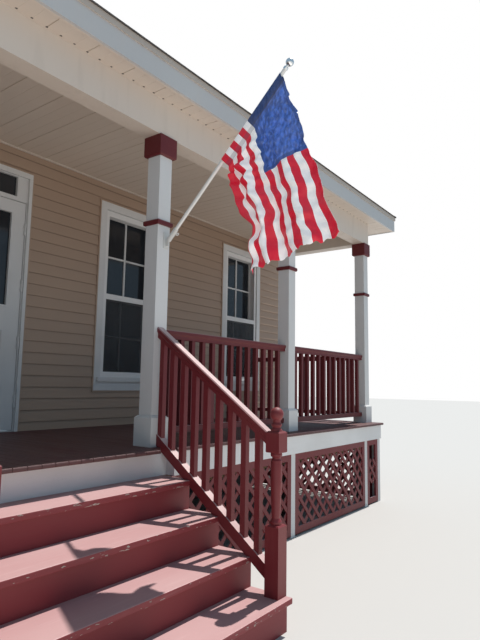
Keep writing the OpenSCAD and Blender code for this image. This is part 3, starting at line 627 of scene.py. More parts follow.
class PorchColours(bpy.types.PropertyGroup):
    """Paint and material colours, as linear values."""

    maroon: colour_property("Maroon paint", "Stair, railings, collars and skirt", (0.150, 0.0165, 0.021))
    maroon_worn: colour_property("Faded maroon", "Maroon paint where it has faded", (0.20, 0.050, 0.050))
    # The paler tone of the tops of treads and rails: partly dusty, partly painted sheen.
    dust_and_sheen: colour_property("Dusty tread", "Tops of the treads and rails", (0.48, 0.315, 0.310))
    floor: colour_property("Floor paint", "Porch floor", (0.095, 0.038, 0.037))
    white: colour_property("White paint", "Posts, casings, sashes, rim and fascia", (0.72, 0.715, 0.71))
    white_worn: colour_property("Dulled white", "White paint where it is grimy", (0.52, 0.50, 0.48))
    cream: colour_property("Cream paint", "Beam, soffit and drip edge", (0.61, 0.535, 0.465))
    ceiling: colour_property("Ceiling panels", "Beaded ceiling", (0.60, 0.51, 0.435))
    siding: colour_property("Siding", "Lap siding", (0.36, 0.255, 0.187))
    shingle: colour_property("Shingles", "Roof shingles", (0.055, 0.050, 0.047))
    flag_red: colour_property("Flag red", "Stripes", (0.62, 0.011, 0.036))
    flag_blue: colour_property("Flag blue", "Canton", (0.060, 0.135, 0.46))
    floor_stage: colour_property("Stage", "Pale floor", (0.44, 0.43, 0.415))


def sizes():
    """The sizes as they are set now."""
    return bpy.context.scene.porch_sizes


def colours():
    """The colours as they are set now."""
    return bpy.context.scene.porch_colours


def white_paint(name, grain):
    """White paint on trim that stands upright."""
    c = colours()
    return painted_wood(name, tuple(c.white), tuple(c.white_worn), "z", grain)


def settle(obj, slot, material, *nodes):
    """Gives a new piece its material and the nodes that it stands for; the slot is not used."""
    obj.data.materials.clear()
    obj.data.materials.append(material)
    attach(obj, "porch")
    if nodes:
        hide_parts(*nodes)


# The pieces


class PORCH_OT_finishes(bpy.types.Operator):
    """Paints the porch's own solids"""

    bl_idname = "porch.finishes"
    bl_label = "Paint the solids"
    bl_options = {"REGISTER", "UNDO"}

    def execute(self, context):
        """Each row is a finish and the nodes that wear it. Nodes that new pieces replace have none."""
        c = colours()
        maroon, faded, dust_and_sheen = tuple(c.maroon), tuple(c.maroon_worn), tuple(c.dust_and_sheen)
        white, dull, cream = tuple(c.white), tuple(c.white_worn), tuple(c.cream)
        # The stair rails' tops are painted paler still: dusty, with a painted highlight.
        maroon_back = painted_wood("maroon_back", maroon, faded, "y", dust_and_sheen=(0.60, 0.45, 0.44))
        # Maroon at 0.72 of its tone for the collars, capitals and porch railings: painted shade.
        maroon_shaded = painted_wood("maroon_shaded", toned(maroon, 0.72), faded, "x", dirt=0.2, dust_and_sheen=dust_and_sheen)
        # White at 0.86 of its tone for the doors, casings, sashes, posts and plinths: painted shade.
        white_up_shaded = painted_wood("white_up_shaded", toned(white, 0.86), dull, "z", 0.6)
        plaster = painted_wood("plaster", (0.55, 0.54, 0.50), (0.48, 0.46, 0.42), "z", 0.4)
        framing = bare_wood("framing", (0.36, 0.24, 0.13), (0.24, 0.15, 0.08), "y")
        glass = dark_glass("glass", (0.018, 0.021, 0.026))
        wear = (
            (painted_wood("maroon_up", maroon, faded, "z"), "newel_posts"),
            # The risers' maroon is painted 1.45 times paler: painted bounce light from the lit treads and
            # ground.
            (painted_wood("maroon_riser_lit", toned(maroon, 1.45), faded, "x"), "stair_risers"),
            (painted_wood("maroon_along", maroon, faded, "x", dust_and_sheen=dust_and_sheen), "skirt_frames", "lattice_front"),
            (maroon_back, "lattice_ends", "stair_stringers", "stair_rails"),
            (maroon_shaded, "post_collars", "post_capitals", "rails_left", "rails_right"),
            (white_up_shaded, "door_frame", "door_casing", "door_leaf_right", "door_leaf_left"),
            (white_up_shaded, "window_casings", "window_sashes", "skirt_strips", "porch_posts", "post_plinths"),
            (painted_wood("white_along", white, dull, "x", 0.6), "rim_boards"),
            (plaster, "house_wall_left", "house_wall_right", "house_wall_over_door"),
            # The fascia's paint is greyish, and set at 0.7 of white partly as painted shade.
            (coated_metal("white_metal_shaded", toned(white, 0.7), dull, 0.35), "roof_fascia"),
            (coated_metal("cream", cream, toned(cream, 0.8), 0.45), "porch_beam", "roof_flashing"),
            (coated_metal("cast", (0.60, 0.60, 0.58), (0.45, 0.44, 0.42), 0.4), "flag_bracket"),
            (coated_metal("pole", (0.74, 0.74, 0.72), (0.6, 0.6, 0.58), 0.25), "flag_pole"),
            (bare_metal("brass", (0.62, 0.45, 0.20), 0.25), "door_handle_right", "door_handle_left"),
            (bare_metal("finial", (0.75, 0.78, 0.80), 0.12), "pole_finial"),
            (framing, "deck_framing", "roof_boards"),
            (block_finish("blocks", (0.17, 0.155, 0.145), (0.10, 0.09, 0.085)), "foundation"),
            (glass, "door_glass_right", "door_glass_left", "window_glass"),
        )
        for paint, *nodes in wear:
            for node in nodes:
                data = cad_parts[node].data
                data.materials.clear()
                data.materials.append(paint)
        return {"FINISHED"}


class PORCH_OT_floor(bpy.types.Operator):
    """Lays the floor boards, with rounded front edges and notches at the stair"""

    bl_idname = "porch.floor"
    bl_label = "Floor boards"
    bl_options = {"REGISTER", "UNDO"}

    def execute(self, context):
        """Each board's edge falls into a joint; the surface is that comb carried round the nosing.

        Along the board the path goes from the wall over the top, round a quarter circle of NOSING_R at
        the top of the front edge and one at its foot, and back under.
        """
        s = sizes()
        low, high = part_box("deck_floor")
        inner, outer = NOTCH
        spans = (
            (low.x, -outer, FRONT_Y),
            (-outer, -inner, HEADER_Y),
            (-inner, inner, FRONT_Y),
            (inner, outer, HEADER_Y),
            (outer, high.x, FRONT_Y),
        )
        turn = np.linspace(0, math.pi / 2, 5)
        under = DECK_Z - FLOOR_T
        upper = DECK_Z - NOSING_R * (1 - np.cos(turn))
        lower = under + NOSING_R * (1 - np.sin(turn))
        path_z = np.concatenate([[DECK_Z], upper, lower, [under]])
        drop = np.array([BOARD_EASE, 0.0, 0.0, BOARD_EASE])
        half = s.floor_gap / 2
        least = 0.2
        parts = []
        for x0, x1, front in spans:
            first, last = math.ceil(x0 / s.floor_board + least), math.floor(x1 / s.floor_board - least)
            cuts = np.concatenate([[x0], np.arange(first, last + 1) * s.floor_board, [x1]])
            left, right = cuts[:-1] + half, cuts[1:] - half
            sides = np.stack([left, left + half, right - half, right], 1)
            centre = front + NOSING_R
            path_y = [[0.0], centre - NOSING_R * np.sin(turn), centre - NOSING_R * np.cos(turn), [0.0]]
            grid = np.zeros((len(sides), 4, len(path_z), 3))
            grid[..., 0] = sides[:, :, None]
            grid[..., 1] = np.concatenate(path_y)
            grid[..., 2] = path_z - drop[:, None] * (path_z > DECK_Z - FLOOR_T / 2)
            parts.extend(loft(board) for board in grid)
        obj = outward(make("floor_boards", *join(parts)))
        c = colours()
        finish = deck_boards("floor_paint", tuple(c.floor), tuple(c.maroon_worn), s.floor_board)
        settle(obj, "deck_paint", finish, "deck_floor")
        return {"FINISHED"}


class PORCH_OT_treads(bpy.types.Operator):
    """Lays the treads, each with a front edge that is only just eased"""

    bl_idname = "porch.treads"
    bl_label = "Treads"
    bl_options = {"REGISTER", "UNDO"}

    def execute(self, context):
        """Tread k lies k rises below the floor, its front k runs before the header plus its overhang."""
        low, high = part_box("stair_treads")
        corners = []
        for k in range(1, TREADS + 1):
            front, top = HEADER_Y - k * RUN - TREAD_OUT, DECK_Z - k * RISE
            back = front + RUN + TREAD_OUT + TREAD_TUCK * (k > 1)
            corners.append(((low.x, front, top - TREAD_T), (high.x, back, top)))
        obj = bevel(make("tread_boards", *boxes(corners)), 0.004)
        c = colours()
        bare = (0.40, 0.34, 0.30)
        # The treads' maroon is painted 1.45 times paler, like the risers': painted bounce light.
        finish = stair_paint("tread_paint", toned(c.maroon, 1.45), tuple(c.dust_and_sheen), bare)
        settle(obj, "maroon_paint", finish, "stair_treads")
        return {"FINISHED"}


class PORCH_OT_siding(bpy.types.Operator):
    """Hangs the lap siding round the windows and the doorway, and its corner boards"""

    bl_idname = "porch.siding"
    bl_label = "Lap siding"
    bl_options = {"REGISTER", "UNDO"}

    def execute(self, context):
        """A course is a wedge: its face leans from the butt at its foot to nearly nothing at its head.

        Its depth at height z is butt - (butt - head) * (z - foot) / course.
        """
        s = sizes()
        low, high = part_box("house_wall_left")[0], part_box("house_wall_right")[1]
        half = high.x - CORNER_W
        x0, x1, z0, z1, foot = np.array(self.lengths(half, low.z, high.z, s.course)).T
        z = np.stack([z0, z0, z1, z1], 1)
        deep = s.siding_butt - (s.siding_butt - SIDING_HEAD) * (z - foot[:, None]) / s.course
        outlines = np.zeros((len(x0), 4, 3))
        outlines[:, 1:3, 1] = -deep[:, 1:3]
        outlines[..., 2] = z
        level = np.zeros_like(x0)
        starts = np.stack([x0, level, level], 1)
        along = np.stack([x1 - x0, level, level], 1)
        obj = outward(make("lap_siding", *prisms(outlines, starts, along)))
        tone = tuple(colours().siding)
        settle(obj, "siding", siding_finish("siding_vinyl", tone, toned(tone, 1.12), s.course, low.z))
        corners = [
            ((-high.x, -CORNER_T, low.z), (-half, 0.0, high.z)),
            ((half, -CORNER_T, low.z), (high.x, 0.0, high.z)),
        ]
        trim = bevel(make("corner_boards", *boxes(corners)), 0.002)
        settle(trim, "white_paint", white_paint("corner_white", 0.6))
        return {"FINISHED"}

    def lengths(self, half, bottom, top, course):
        """Lengths of siding as x0, x1, z0, z1 and their course's foot, cut where an opening stands."""
        trims = [(x - WINDOW_W / 2, x + WINDOW_W / 2, *WINDOW_Z) for x in WINDOWS]
        trims.append((-DOOR_TRIM_X, DOOR_TRIM_X, bottom - 1, DOOR_TRIM_Z))
        holes = np.array(trims) + SIDING_TUCK * np.array([1, -1, 1, -1])
        edges = np.unique([-half, half, *holes[:, :2].ravel()])
        rows = []
        least = 0.002
        for foot in np.arange(bottom, top - 0.01, course):
            head = min(foot + course, top)
            for left, right in zip(edges, edges[1:]):
                clear = [(foot, head)]
                for x0, x1, z0, z1 in holes:
                    if x0 < (left + right) / 2 < x1:
                        clear = [(foot, min(head, z0)), (max(foot, z1), head)]
                rows.extend((left, right, a, b, foot) for a, b in clear if b - a > least)
        return rows


def beaded(x0, x1, y0, y1, pitch, start, swap=False):
    """A panel whose underside has a groove at every pitch along x, and a deeper seam at every third.

    The underside is at CEILING_Z. A groove goes up by its depth within a flat share of its half width,
    and comes straight back to the underside at its half width. With swap, x and y trade places.
    """
    margin, flat = 0.012, 0.3
    index = np.arange(math.floor(x0 / pitch) - 4, math.ceil(x1 / pitch) + 4)
    at = index * pitch + start
    inside = (at > x0 + margin) & (at < x1 - margin)
    index, at = index[inside], at[inside]
    half, depth = np.where(index % 3 == 0, np.array([SEAM_GROOVE]).T, np.array([BEAD_GROOVE]).T)
    xs = np.stack([at - half, at - half * flat, at + half * flat, at + half], 1).ravel()
    zs = np.stack([0 * depth, depth, depth, 0 * depth], 1).ravel()
    xs = np.concatenate([[x0], xs, [x1]])
    ring = np.zeros((len(xs), 4, 3))
    ring[..., 0] = xs[:, None]
    ring[..., 1] = (y0, y1, y1, y0)
    ring[:, :2, 2] = CEILING_Z + np.concatenate([[0.0], zs, [0.0]])[:, None]
    ring[:, 2:, 2] = CEILING_Z + PANEL_T
    if swap:
        ring = ring[..., (1, 0, 2)]
    return loft(ring)


class PORCH_OT_ceiling(bpy.types.Operator):
    """Puts up the beaded ceiling, the soffits and the trim where they meet the wall"""

    bl_idname = "porch.ceiling"
    bl_label = "Ceiling and soffits"
    bl_options = {"REGISTER", "UNDO"}

    def execute(self, context):
        """The panels lie inside and outside the beam, and the soffit turns the corner at each end."""
        c = colours()
        pitch = sizes().bead
        inner, edge = END_X - BEAM_HALF, END_X + BEAM_HALF
        outer, front = ROOF_X - SOFFIT_IN, ROOF_Y + SOFFIT_IN
        parts = beaded(-inner, inner, BEAM_IN, 0.0, pitch, CEILING_START)
        ceiling = outward(make("ceiling_panels", *parts))
        finish = panel_finish("ceiling_vinyl", tuple(c.ceiling), toned(c.ceiling, 0.86), "y")
        settle(ceiling, "ceiling_panels", finish, "porch_ceiling")
        parts = [
            beaded(-outer, outer, front, BEAM_OUT, pitch, SOFFIT_START),
            beaded(BEAM_OUT, 0.0, edge, outer, pitch, 0.0, True),
            beaded(BEAM_OUT, 0.0, -outer, -edge, pitch, 0.0, True),
        ]
        soffit = outward(make("soffit_panels", *join(parts)))
        finish = panel_finish("soffit_vinyl", tuple(c.cream), toned(c.cream, 0.88), "y")
        settle(soffit, "cream_paint", finish, "porch_soffit")
        self.strips(inner, edge, outer, front)
        self.groove_end_shadows(edge, pitch)
        self.drip_edge()
        return {"FINISHED"}

    def strips(self, inner, edge, outer, front):
        """Flat strips at the wall, inside the beam, along the soffit's front and outside the beam.

        Each is given by half its length, its edges in Y and how far it hangs below the ceiling's face.
        """
        strips = (
            (inner, -0.030, -0.002, 0.010),
            (inner, BEAM_IN, BEAM_IN + STRIP, 0.008),
            (outer, front, front + STRIP, 0.006),
            (edge, BEAM_OUT - 0.008, BEAM_OUT, 0.004),
        )
        corners = [((-x, y0, CEILING_Z - hang), (x, y1, CEILING_Z)) for x, y0, y1, hang in strips]
        trim = bevel(make("ceiling_channel", *boxes(corners)), 0.002)
        cream = tuple(colours().cream)
        settle(trim, "cream_paint", panel_finish("channel_vinyl", cream, toned(cream, 0.85), "x"))

    def groove_end_shadows(self, edge, pitch):
        """Dark flecks of painted shadow where the soffit's grooves run out open at the beam."""
        first, last = math.ceil((-edge - SOFFIT_START) / pitch), math.floor((edge - SOFFIT_START) / pitch)
        at = np.arange(first, last + 1) * pitch + SOFFIT_START
        ends = np.stack([at, 0 * at + BEAM_OUT - 0.012, 0 * at + CEILING_Z], 1)
        wide, deep, under, over = 0.007, 0.005, 0.0012, 0.003
        corners = np.stack([ends - (wide, deep, under), ends + (wide, deep, over)], 1)
        flecks = make("groove_end_shadows", *boxes(corners))
        shade = panel_finish("groove_shadow", (0.055, 0.045, 0.04), (0.03, 0.027, 0.025), "x")
        settle(bevel(flecks, 0.0004, 1), "cream_paint", shade)

    def drip_edge(self):
        """A thin metal strip that stands off the fascia's head along the front and both ends."""
        out_x, out_y = ROOF_X + DRIP_OUT, ROOF_Y - DRIP_OUT
        low, high = ROOF_Z - DRIP_DOWN, ROOF_Z + DRIP_UP
        corners = [
            ((-out_x, out_y, low), (out_x, out_y + DRIP_T, high)),
            ((-out_x, out_y, low), (-out_x + DRIP_T, 0.0, high)),
            ((out_x - DRIP_T, out_y, low), (out_x, 0.0, high)),
        ]
        cream = tuple(colours().cream)
        # The drip edge is cream at 0.75, partly its own duller tone and partly painted shade.
        metal = coated_metal("drip_metal_shaded", toned(cream, 0.75), toned(cream, 0.64), 0.4)
        settle(make("drip_edge", *boxes(corners)), "flashing", metal)


def roof_height(y, lift):
    """Height of the roof boards' top on the front slope at the place y, plus lift."""
    return ROOF_Z + (y - ROOF_Y) * ROOF_PITCH + ROOF_BOARD_T + lift


def mark_tabs(obj, tones):
    """Keeps each tab's tone on its points, for the shingles' finish."""
    mark = obj.data.attributes.new("tab", "FLOAT", "POINT")
    mark.data.foreach_set("value", tones)


class PORCH_OT_shingles(bpy.types.Operator):
    """Lays the shingles course by course, with caps on the hips"""

    bl_idname = "porch.shingles"
    bl_label = "Shingles"
    bl_options = {"REGISTER", "UNDO"}

    def execute(self, context):
        """Courses go up the front slope and the two end slopes, every other one moved half a tab."""
        s = sizes()
        rng = np.random.default_rng(7)
        step = s.exposure / math.hypot(1, ROOF_PITCH)
        tabs, tones = [], []
        for side in (0, 1, -1):
            for i in range(math.ceil(-EAVE_Y / step)):
                far = min((i + TAB_LONG) * step, -EAVE_Y)
                tabs.append(self.course(side, i * step, far, s.tab, (i % 2) * s.tab / 2))
                tones.append(rng.random(len(tabs[-1])))
        points = np.concatenate(tabs)
        ends = [[0, 3, 2, 1], [4, 5, 6, 7]]
        cube = np.array([*ends, [0, 1, 5, 4], [1, 2, 6, 5], [2, 3, 7, 6], [3, 0, 4, 7]])
        faces = (cube[None] + (np.arange(len(points)) * 8)[:, None, None]).reshape(-1, 4)
        obj = make("shingle_tabs", points, faces.tolist())
        mark_tabs(obj, np.repeat(np.concatenate(tones), 8))
        tone = tuple(colours().shingle)
        finish = shingle_finish("shingle_grit", tone, toned(tone, 2.2))
        settle(outward(obj), "shingles", finish, "roof_shingles")
        self.caps(finish, rng)
        return {"FINISHED"}

    def course(self, side, near, far, tab, shift):
        """One course's tabs, eight corners each: thin wedges from near to far inwards of the eave.

        Side is 0 for the front slope, 1 for the right end and -1 for the left. The ends are cut to the
        hip, which comes in as far from the corner as the course stands from the eave.
        """
        if side:
            eave, head = (EAVE_Y + near, 0.0), (EAVE_Y + far, 0.0)
        else:
            eave, head = (near - EAVE_X, EAVE_X - near), (far - EAVE_X, EAVE_X - far)
        cuts = np.arange(math.floor(eave[0] / tab), math.ceil(eave[1] / tab) + 1) * tab + shift
        ends = np.stack([cuts[:-1] + TAB_GAP / 2, cuts[1:] - TAB_GAP / 2], 1)
        low, top = np.clip(ends, *eave), np.clip(ends, *head)
        wide = low[:, 1] - low[:, 0] > TAB_LEAST
        along = np.concatenate([low[wide], top[wide, ::-1]] * 2, 1)
        inward = np.array([near, near, far, far] * 2)
        under, over = (0.0, -0.004), (0.0085, 0.002)
        lift = np.repeat([*under, *over], 2)
        corners = np.zeros((*along.shape, 3))
        corners[..., 0] = side * (EAVE_X - inward) if side else along
        corners[..., 1] = along if side else EAVE_Y + inward
        corners[..., 2] = roof_height(EAVE_Y + inward, lift)
        return corners

    def caps(self, finish, rng):
        """Hip caps: a shallow inverted V across the hip line, each lapping the one below.

        A cap stands higher above the boards at its near end, which lies on the cap below.
        """
        down = np.array([0, 0, -CAP_T])
        near_lift, far_lift = 0.016, 0.0095
        parts, tones = [], []
        for side in (1, -1):
            for i in range(int(-EAVE_Y / CAP_STEP)):
                near = i * CAP_STEP
                far = min(near + CAP_L, -EAVE_Y - 0.01)
                rings = []
                for inward, lift in ((near, near_lift), (far, far_lift)):
                    y = EAVE_Y + inward
                    ridge = np.array([side * (EAVE_X - inward), y, roof_height(y, lift)])
                    on_front = ridge + (-side * CAP_HALF, 0.0, 0.0) + down
                    on_end = ridge + (0.0, CAP_HALF, 0.0) + down
                    rings.append([on_front, ridge, on_end, on_end + down, ridge + down, on_front + down])
                parts.append(loft(np.array(rings)))
                tones.extend([rng.random()] * 12)
        obj = make("hip_caps", *join(parts))
        mark_tabs(obj, tones)
        settle(outward(obj), "shingles", finish)


class PORCH_OT_windows(bpy.types.Operator):
    """Fits the bars in the sashes, the front frames with their half screens, and the siding's channels"""

    bl_idname = "porch.windows"
    bl_label = "Windows"
    bl_options = {"REGISTER", "UNDO"}

    def execute(self, context):
        """The same bars, frame, screen and channels go to each window."""
        white = white_paint("window_white", 0.5)
        self.bars(white)
        self.fronts(white)
        self.screens()
        self.channels()
        return {"FINISHED"}

    def bars(self, white):
        """A bar is a bevelled strip: its section is a flat face with two slanted sides."""
        across = sizes().bar * np.array([-0.5, -0.5, -0.25, 0.25, 0.5, 0.5])
        deep = BAR_DEPTH * np.array([1, 0, -1, -1, 0, 1])
        upright = np.stack([across, deep, 0 * deep], 1)
        level = np.stack([0 * deep, deep, across], 1)
        half = SASH_X - SASH_W + BAR_LAP
        panes = (
            (MEETING_Z + SASH_W / 2, SASH_Z[1] - SASH_W, UPPER_Y + BAR_BACK),
            (SASH_Z[0] + SASH_W, MEETING_Z - SASH_W / 2, LOWER_Y + BAR_BACK),
        )
        outlines, starts, along = [], [], []
        for x in WINDOWS:
            for low, high, y in panes:
                outlines += [upright, level]
                starts += [(x, y, low - BAR_LAP), (x - half, y, (low + high) / 2)]
                along += [(0, 0, high - low + 2 * BAR_LAP), (2 * half, 0, 0)]
        obj = outward(make("window_bars", *prisms(outlines, starts, along)))
        settle(obj, "white_paint", white)

    def fronts(self, white):
        """Each frame has two sides, and three rails that are thinner and run between the sides."""
        front, back = SCREEN_Y
        rail_front, rail_back = front + RAIL_THIN, back - RAIL_THIN
        low, high = SASH_Z
        inner = SASH_X - SCREEN_SIDE
        half = inner + FRAME_LAP
        corners = []
        for x in WINDOWS:
            for left, right in ((-SASH_X, -inner), (inner, SASH_X)):
                corners.append(((x + left, front, low), (x + right, back, high)))
            for z in (low, MEETING_Z - SCREEN_RAIL / 2, high - SCREEN_RAIL):
                corners.append(((x - half, rail_front, z), (x + half, rail_back, z + SCREEN_RAIL)))
        obj = bevel(make("window_fronts", *boxes(corners)), 0.0025)
        settle(obj, "white_paint", white, "window_screens")

    def screens(self):
        """Mesh in the lower half of each front frame."""
        inner = SASH_X - SCREEN_SIDE
        front, back = MESH_Y
        low, high = SASH_Z[0] + SCREEN_RAIL - FRAME_LAP, MEETING_Z - SCREEN_RAIL / 2 + FRAME_LAP
        corners = [((x - inner, front, low), (x + inner, back, high)) for x in WINDOWS]
        obj = make("screen_mesh", *boxes(corners))
        settle(obj, "screen", insect_screen("screen_weave", (0.035, 0.036, 0.040)))

    def channels(self):
        """The channels that the siding's cut ends run into: a strip round each window and the door."""
        ways = [(x - WINDOW_W / 2, x + WINDOW_W / 2, *WINDOW_Z, True) for x in WINDOWS]
        ways.append((-DOOR_TRIM_X, DOOR_TRIM_X, DECK_Z, DOOR_TRIM_Z, False))
        out, w, lap = CHANNEL_OUT, CHANNEL_W, FRAME_LAP
        corners = []
        for x0, x1, z0, z1, closed in ways:
            foot = z0 - w * closed
            corners.append(((x0 - w, -out, foot), (x0, 0.0, z1 + w)))
            corners.append(((x1, -out, foot), (x1 + w, 0.0, z1 + w)))
            corners.append(((x0 - lap, -out, z1), (x1 + lap, 0.0, z1 + w)))
            if closed:
                corners.append(((x0 - lap, -out, foot), (x1 + lap, 0.0, z0)))
        obj = bevel(make("siding_channels", *boxes(corners)), 0.0015)
        tone = tuple(colours().siding)
        settle(obj, "siding", panel_finish("channel_tan", toned(tone, 1.08), tone, "z"))


def ripple(a, d, rng, count, across, down):
    """A smooth uneven field over the cloth: plane waves of mixed direction, length and phase.

    f = sum of cos(2 pi (p a + q d) + phase) / sqrt(count), with |p| up to across and q in the span down.
    """
    total = 0.0
    for _ in range(count):
        p = rng.uniform(-across, across)
        q = rng.uniform(*down)
        total = total + np.cos(2 * math.pi * (p * a + q * d + rng.random()))
    return total / math.sqrt(count)


def wave(turns):
    """The sine of an angle given in turns."""
    return np.sin(2 * math.pi * turns)


def hump(s, at, wide):
    """A bell of height 1 at s = at: exp(-((s - at) / wide) ** 2)."""
    return np.exp(-(((s - at) / wide) ** 2))


def grid_points(x, y, z):
    """Points from three arrays that broadcast together."""
    return np.stack(np.broadcast_arrays(x, y, z), -1)


class PORCH_OT_flag(bpy.types.Operator):
    """Hangs the flag from its pole"""

    bl_idname = "porch.flag"
    bl_label = "Flag"
    bl_options = {"REGISTER", "UNDO"}

    def execute(self, context):
        """A sleeve goes round the pole, and below it the cloth hangs, leaning, in folds and rucks.

        Both are functions of a, from 0 to 1 up the hoist, and of a second number that goes round the
        sleeve or, as d, from 0 at the sleeve to 1 at the foot of the cloth.
        """
        columns, rows = 101, 171
        a = np.linspace(0, 1, columns)[None, :]
        d = np.linspace(0, 1, rows)[:, None]
        reach = HOIST[0] + a * (HOIST[1] - HOIST[0])
        pole_y = POLE_FOOT[1] - reach * math.cos(POLE_TILT)
        pole_z = POLE_FOOT[2] + reach * math.sin(POLE_TILT)
        lean = math.pi / 4 - 0.38 * a ** 2
        sleeve = self.sleeve(pole_y, pole_z, lean)
        cloth = self.cloth(a, d, pole_y, pole_z, lean)
        u = np.concatenate([np.linspace(-0.14, 0.0, len(sleeve))[:, None] + 0 * a, d + 0 * a])
        v = np.broadcast_to(a, u.shape)
        points, faces = sheet_grid(np.concatenate([sleeve, cloth]))
        obj = make("flag_cloth", points, faces, uv=np.stack([u, v], -1), smooth=True)
        thick = obj.modifiers.new("cloth", "SOLIDIFY")
        thick.thickness = 0.0010
        thick.offset = 0.0
        c = colours()
        finish = flag_finish("flag_weave", tuple(c.flag_red), (0.86, 0.85, 0.85), tuple(c.flag_blue))
        settle(obj, "flag_cloth", finish, "flag")
        return {"FINISHED"}

    def sleeve(self, pole_y, pole_z, lean):
        """The sleeve's section: up one side from the seam, half round the pole, and down the other.

        A point is the pole's, plus side along x, plus drop along the cloth's lean.
        """
        r, turn = SLEEVE_R, np.linspace(0, math.pi, 9)
        side = np.concatenate([[0.002, 0.007, r * 0.95], r * np.cos(turn), [-r, -r * 0.9, -0.008]])
        near, far = SLEEVE_L * np.array([0.97, 0.72, 0.4]), SLEEVE_L * np.array([0.25, 0.5, 0.8])
        drop = np.concatenate([near, -r * np.sin(turn), far])
        foot = grid_points(POLE_FOOT[0], pole_y, pole_z)[0]
        hang = grid_points(0.0, -np.sin(lean), -np.cos(lean))[0]
        return foot + side[:, None, None] * np.array([1.0, 0, 0]) + drop[:, None, None] * hang

    def cloth(self, a, d, pole_y, pole_z, lean):
        """The cloth below the sleeve: straight from seam to foot, bowed, folded and rucked.

        y and z go from the seam to the foot's line by the share s, which lags or leads d by a half sine.
        The bow adds to y, and folds and rucks along x fade in over the first ninth. The lower part of
        the hoist is gathered, so its cloth hangs shorter.
        """
        rng = np.random.default_rng(11)
        seam_y, seam_z = pole_y - SLEEVE_L * np.sin(lean), pole_z - SLEEVE_L * np.cos(lean)
        foot_y = FOOT_Y[0] + (FOOT_Y[1] - FOOT_Y[0]) * a ** 1.13
        foot_z = FOOT_Z[0] + (FOOT_Z[1] - FOOT_Z[0]) * a
        s = d + (0.16 * a - 0.14) * np.sin(math.pi * d)
        start = np.minimum(1, d * 9)
        bow = (1 - a) ** 2 * (0.022 * hump(s, 0.13, 0.10) - 0.078 * hump(s, 0.62, 0.13))
        bow = bow + 0.010 * a ** 3 * np.sin(5.5 * math.pi * s + 0.6)
        # Long folds that deepen downwards, and tight ones where the hoist is gathered
        fold = 0.032 * wave(a * 2.1 + 0.22 * d + 0.12) * d ** 0.7
        fold = fold + 0.030 * (1 - a) ** 1.5 * wave(a * 4.2 - 0.7 * d + 0.1) * start
        # Rucks all over, finer ones on them, and crumpling where the canton is
        canton = 1 / (1 + np.exp(-(a - 0.46) * 40)) / (1 + np.exp((d - 0.43) * 60))
        rucks = 0.0105 * (1.3 - a) * ripple(a, d, rng, 9, 3.0, (4.0, 8.0))
        rucks = rucks + 0.0042 * (1 - 0.5 * canton) * ripple(a, d, rng, 14, 6.0, (8.0, 15.0))
        rucks = rucks + 0.0075 * canton * ripple(a, d, rng, 24, 12.0, (8.0, 19.0))
        # The foot's edge is a little ragged
        ragged = 0.010 * ripple(a, 0 * d, rng, 7, 20, (0, 1)) * d ** 14
        bow = bow + 0.005 * ripple(a, d, rng, 8, 4.0, (4.0, 9.0))
        x = POLE_FOOT[0] + (fold + rucks) * start
        y = seam_y + (foot_y - seam_y) * s + bow * start
        z = seam_z + (foot_z - seam_z) * s + ragged
        return grid_points(x, y, z)


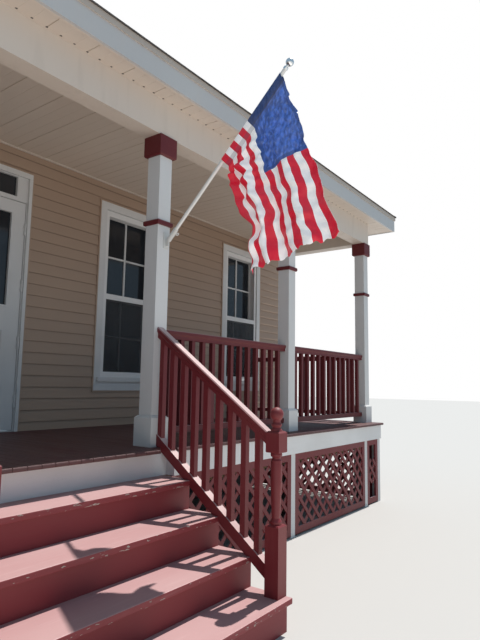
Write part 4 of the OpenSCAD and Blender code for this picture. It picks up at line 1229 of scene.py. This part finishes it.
class PORCH_OT_stage(bpy.types.Operator):
    """Sets the pale floor, the soft light and the camera"""

    bl_idname = "porch.stage"
    bl_label = "Stage"
    bl_options = {"REGISTER", "UNDO"}

    def execute(self, context):
        """The floor is one square at Z = 0."""
        reach = 60
        corners = [[-reach, -reach, 0], [reach, -reach, 0], [reach, reach, 0], [-reach, reach, 0]]
        floor = make("stage_floor", corners, [[0, 1, 2, 3]])
        floor.data.materials.append(Paint("stage_floor").finish(tuple(colours().floor_stage), 0.9))
        self.sky()
        self.lights()
        self.camera()
        bpy.context.scene.view_settings.view_transform = "Standard"
        return {"FINISHED"}

    def sky(self):
        """Cool light from all round, which the camera sees as plain white."""
        world = bpy.data.worlds.new("studio")
        bpy.context.scene.world = world
        world.use_nodes = True
        sky = Nodes(world.node_tree)
        direct, through = (
            sky.node("ShaderNodeLightPath", output=ray) for ray in ("Is Camera Ray", "Is Transmission Ray")
        )
        light = sky.node("ShaderNodeBackground", {}, {"Color": (0.55, 0.78, 1.0), "Strength": 0.52})
        white = sky.node("ShaderNodeBackground", {}, {"Color": (1.0, 1.0, 1.0)})
        seen = direct.math("MAXIMUM", through)
        sky.end("ShaderNodeOutputWorld", sky.node("ShaderNodeMixShader", {}, {0: seen, 1: light, 2: white}))

    def lights(self):
        """A high sun from the right, and a warm panel on the ground that shines up under the ceiling."""
        sun = bpy.data.lights.new("key", "SUN")
        sun.energy = 5.3
        sun.angle = math.radians(0.6)
        sun.color = (1.0, 0.96, 0.91)
        key = place("key", sun)
        key.rotation_mode = "QUATERNION"
        key.rotation_quaternion = Vector((-0.45, 0.018, -1.0)).to_track_quat("-Z", "Y")
        fill = bpy.data.lights.new("fill", "AREA")
        fill.shape = "RECTANGLE"
        fill.size, fill.size_y = 10.0, 2.6
        fill.energy = 80
        fill.color = (1.0, 0.88, 0.75)
        low = place("fill", fill)
        low.location = (-0.3, -4.35, 0.02)
        low.rotation_euler = (math.pi, 0.0, 0.0)
        low.visible_camera = False

    def camera(self):
        """The camera stands left of the stair and looks along the porch.

        Yaw turns it from +Y towards +X, pitch lifts it, and roll turns it about the way it looks.
        """
        yaw, pitch, roll = (math.radians(angle) for angle in LOOK)
        ahead = Vector((math.sin(yaw) * math.cos(pitch), math.cos(yaw) * math.cos(pitch), math.sin(pitch)))
        right = Vector((math.cos(yaw), -math.sin(yaw), 0.0))
        up = right.cross(ahead)
        side = right * math.cos(roll) + up * math.sin(roll)
        head = up * math.cos(roll) - right * math.sin(roll)
        data = bpy.data.cameras.new("view")
        data.sensor_width = FILM
        data.lens = LENS
        data.clip_start, data.clip_end = 0.05, 200.0
        cam = place("view", data)
        cam.matrix_world = Matrix.Translation(EYE) @ Matrix((side, head, -ahead)).transposed().to_4x4()
        bpy.context.scene.camera = cam


OPERATORS = (
    PORCH_OT_finishes,
    PORCH_OT_floor,
    PORCH_OT_treads,
    PORCH_OT_siding,
    PORCH_OT_ceiling,
    PORCH_OT_shingles,
    PORCH_OT_windows,
    PORCH_OT_flag,
    PORCH_OT_stage,
)


class PORCH_PT_panel(bpy.types.Panel):
    """Lists the porch's pieces in the sidebar"""

    bl_label = "Porch"
    bl_idname = "PORCH_PT_panel"
    bl_space_type = "VIEW_3D"
    bl_region_type = "UI"
    bl_category = "Porch"

    def draw(self, context):
        """Shows the sizes and colours, and a button for each operator."""
        for group in (context.scene.porch_sizes, context.scene.porch_colours):
            for name in group.__annotations__:
                self.layout.prop(group, name)
        for op in OPERATORS:
            self.layout.operator(op.bl_idname)


CLASSES = (PorchSizes, PorchColours, *OPERATORS, PORCH_PT_panel)


def register():
    """Adds the classes, and the sizes and colours to the scene."""
    for cls in CLASSES:
        bpy.utils.register_class(cls)
    bpy.types.Scene.porch_sizes = bpy.props.PointerProperty(type=PorchSizes)
    bpy.types.Scene.porch_colours = bpy.props.PointerProperty(type=PorchColours)


def unregister():
    """Takes away what register adds."""
    del bpy.types.Scene.porch_colours
    del bpy.types.Scene.porch_sizes
    for cls in reversed(CLASSES):
        bpy.utils.unregister_class(cls)


def main():
    """Makes every piece in order."""
    register()
    for op in OPERATORS:
        name = op.bl_idname.split(".")[1]
        getattr(bpy.ops.porch, name)()


if __name__ == "__main__":
    main()
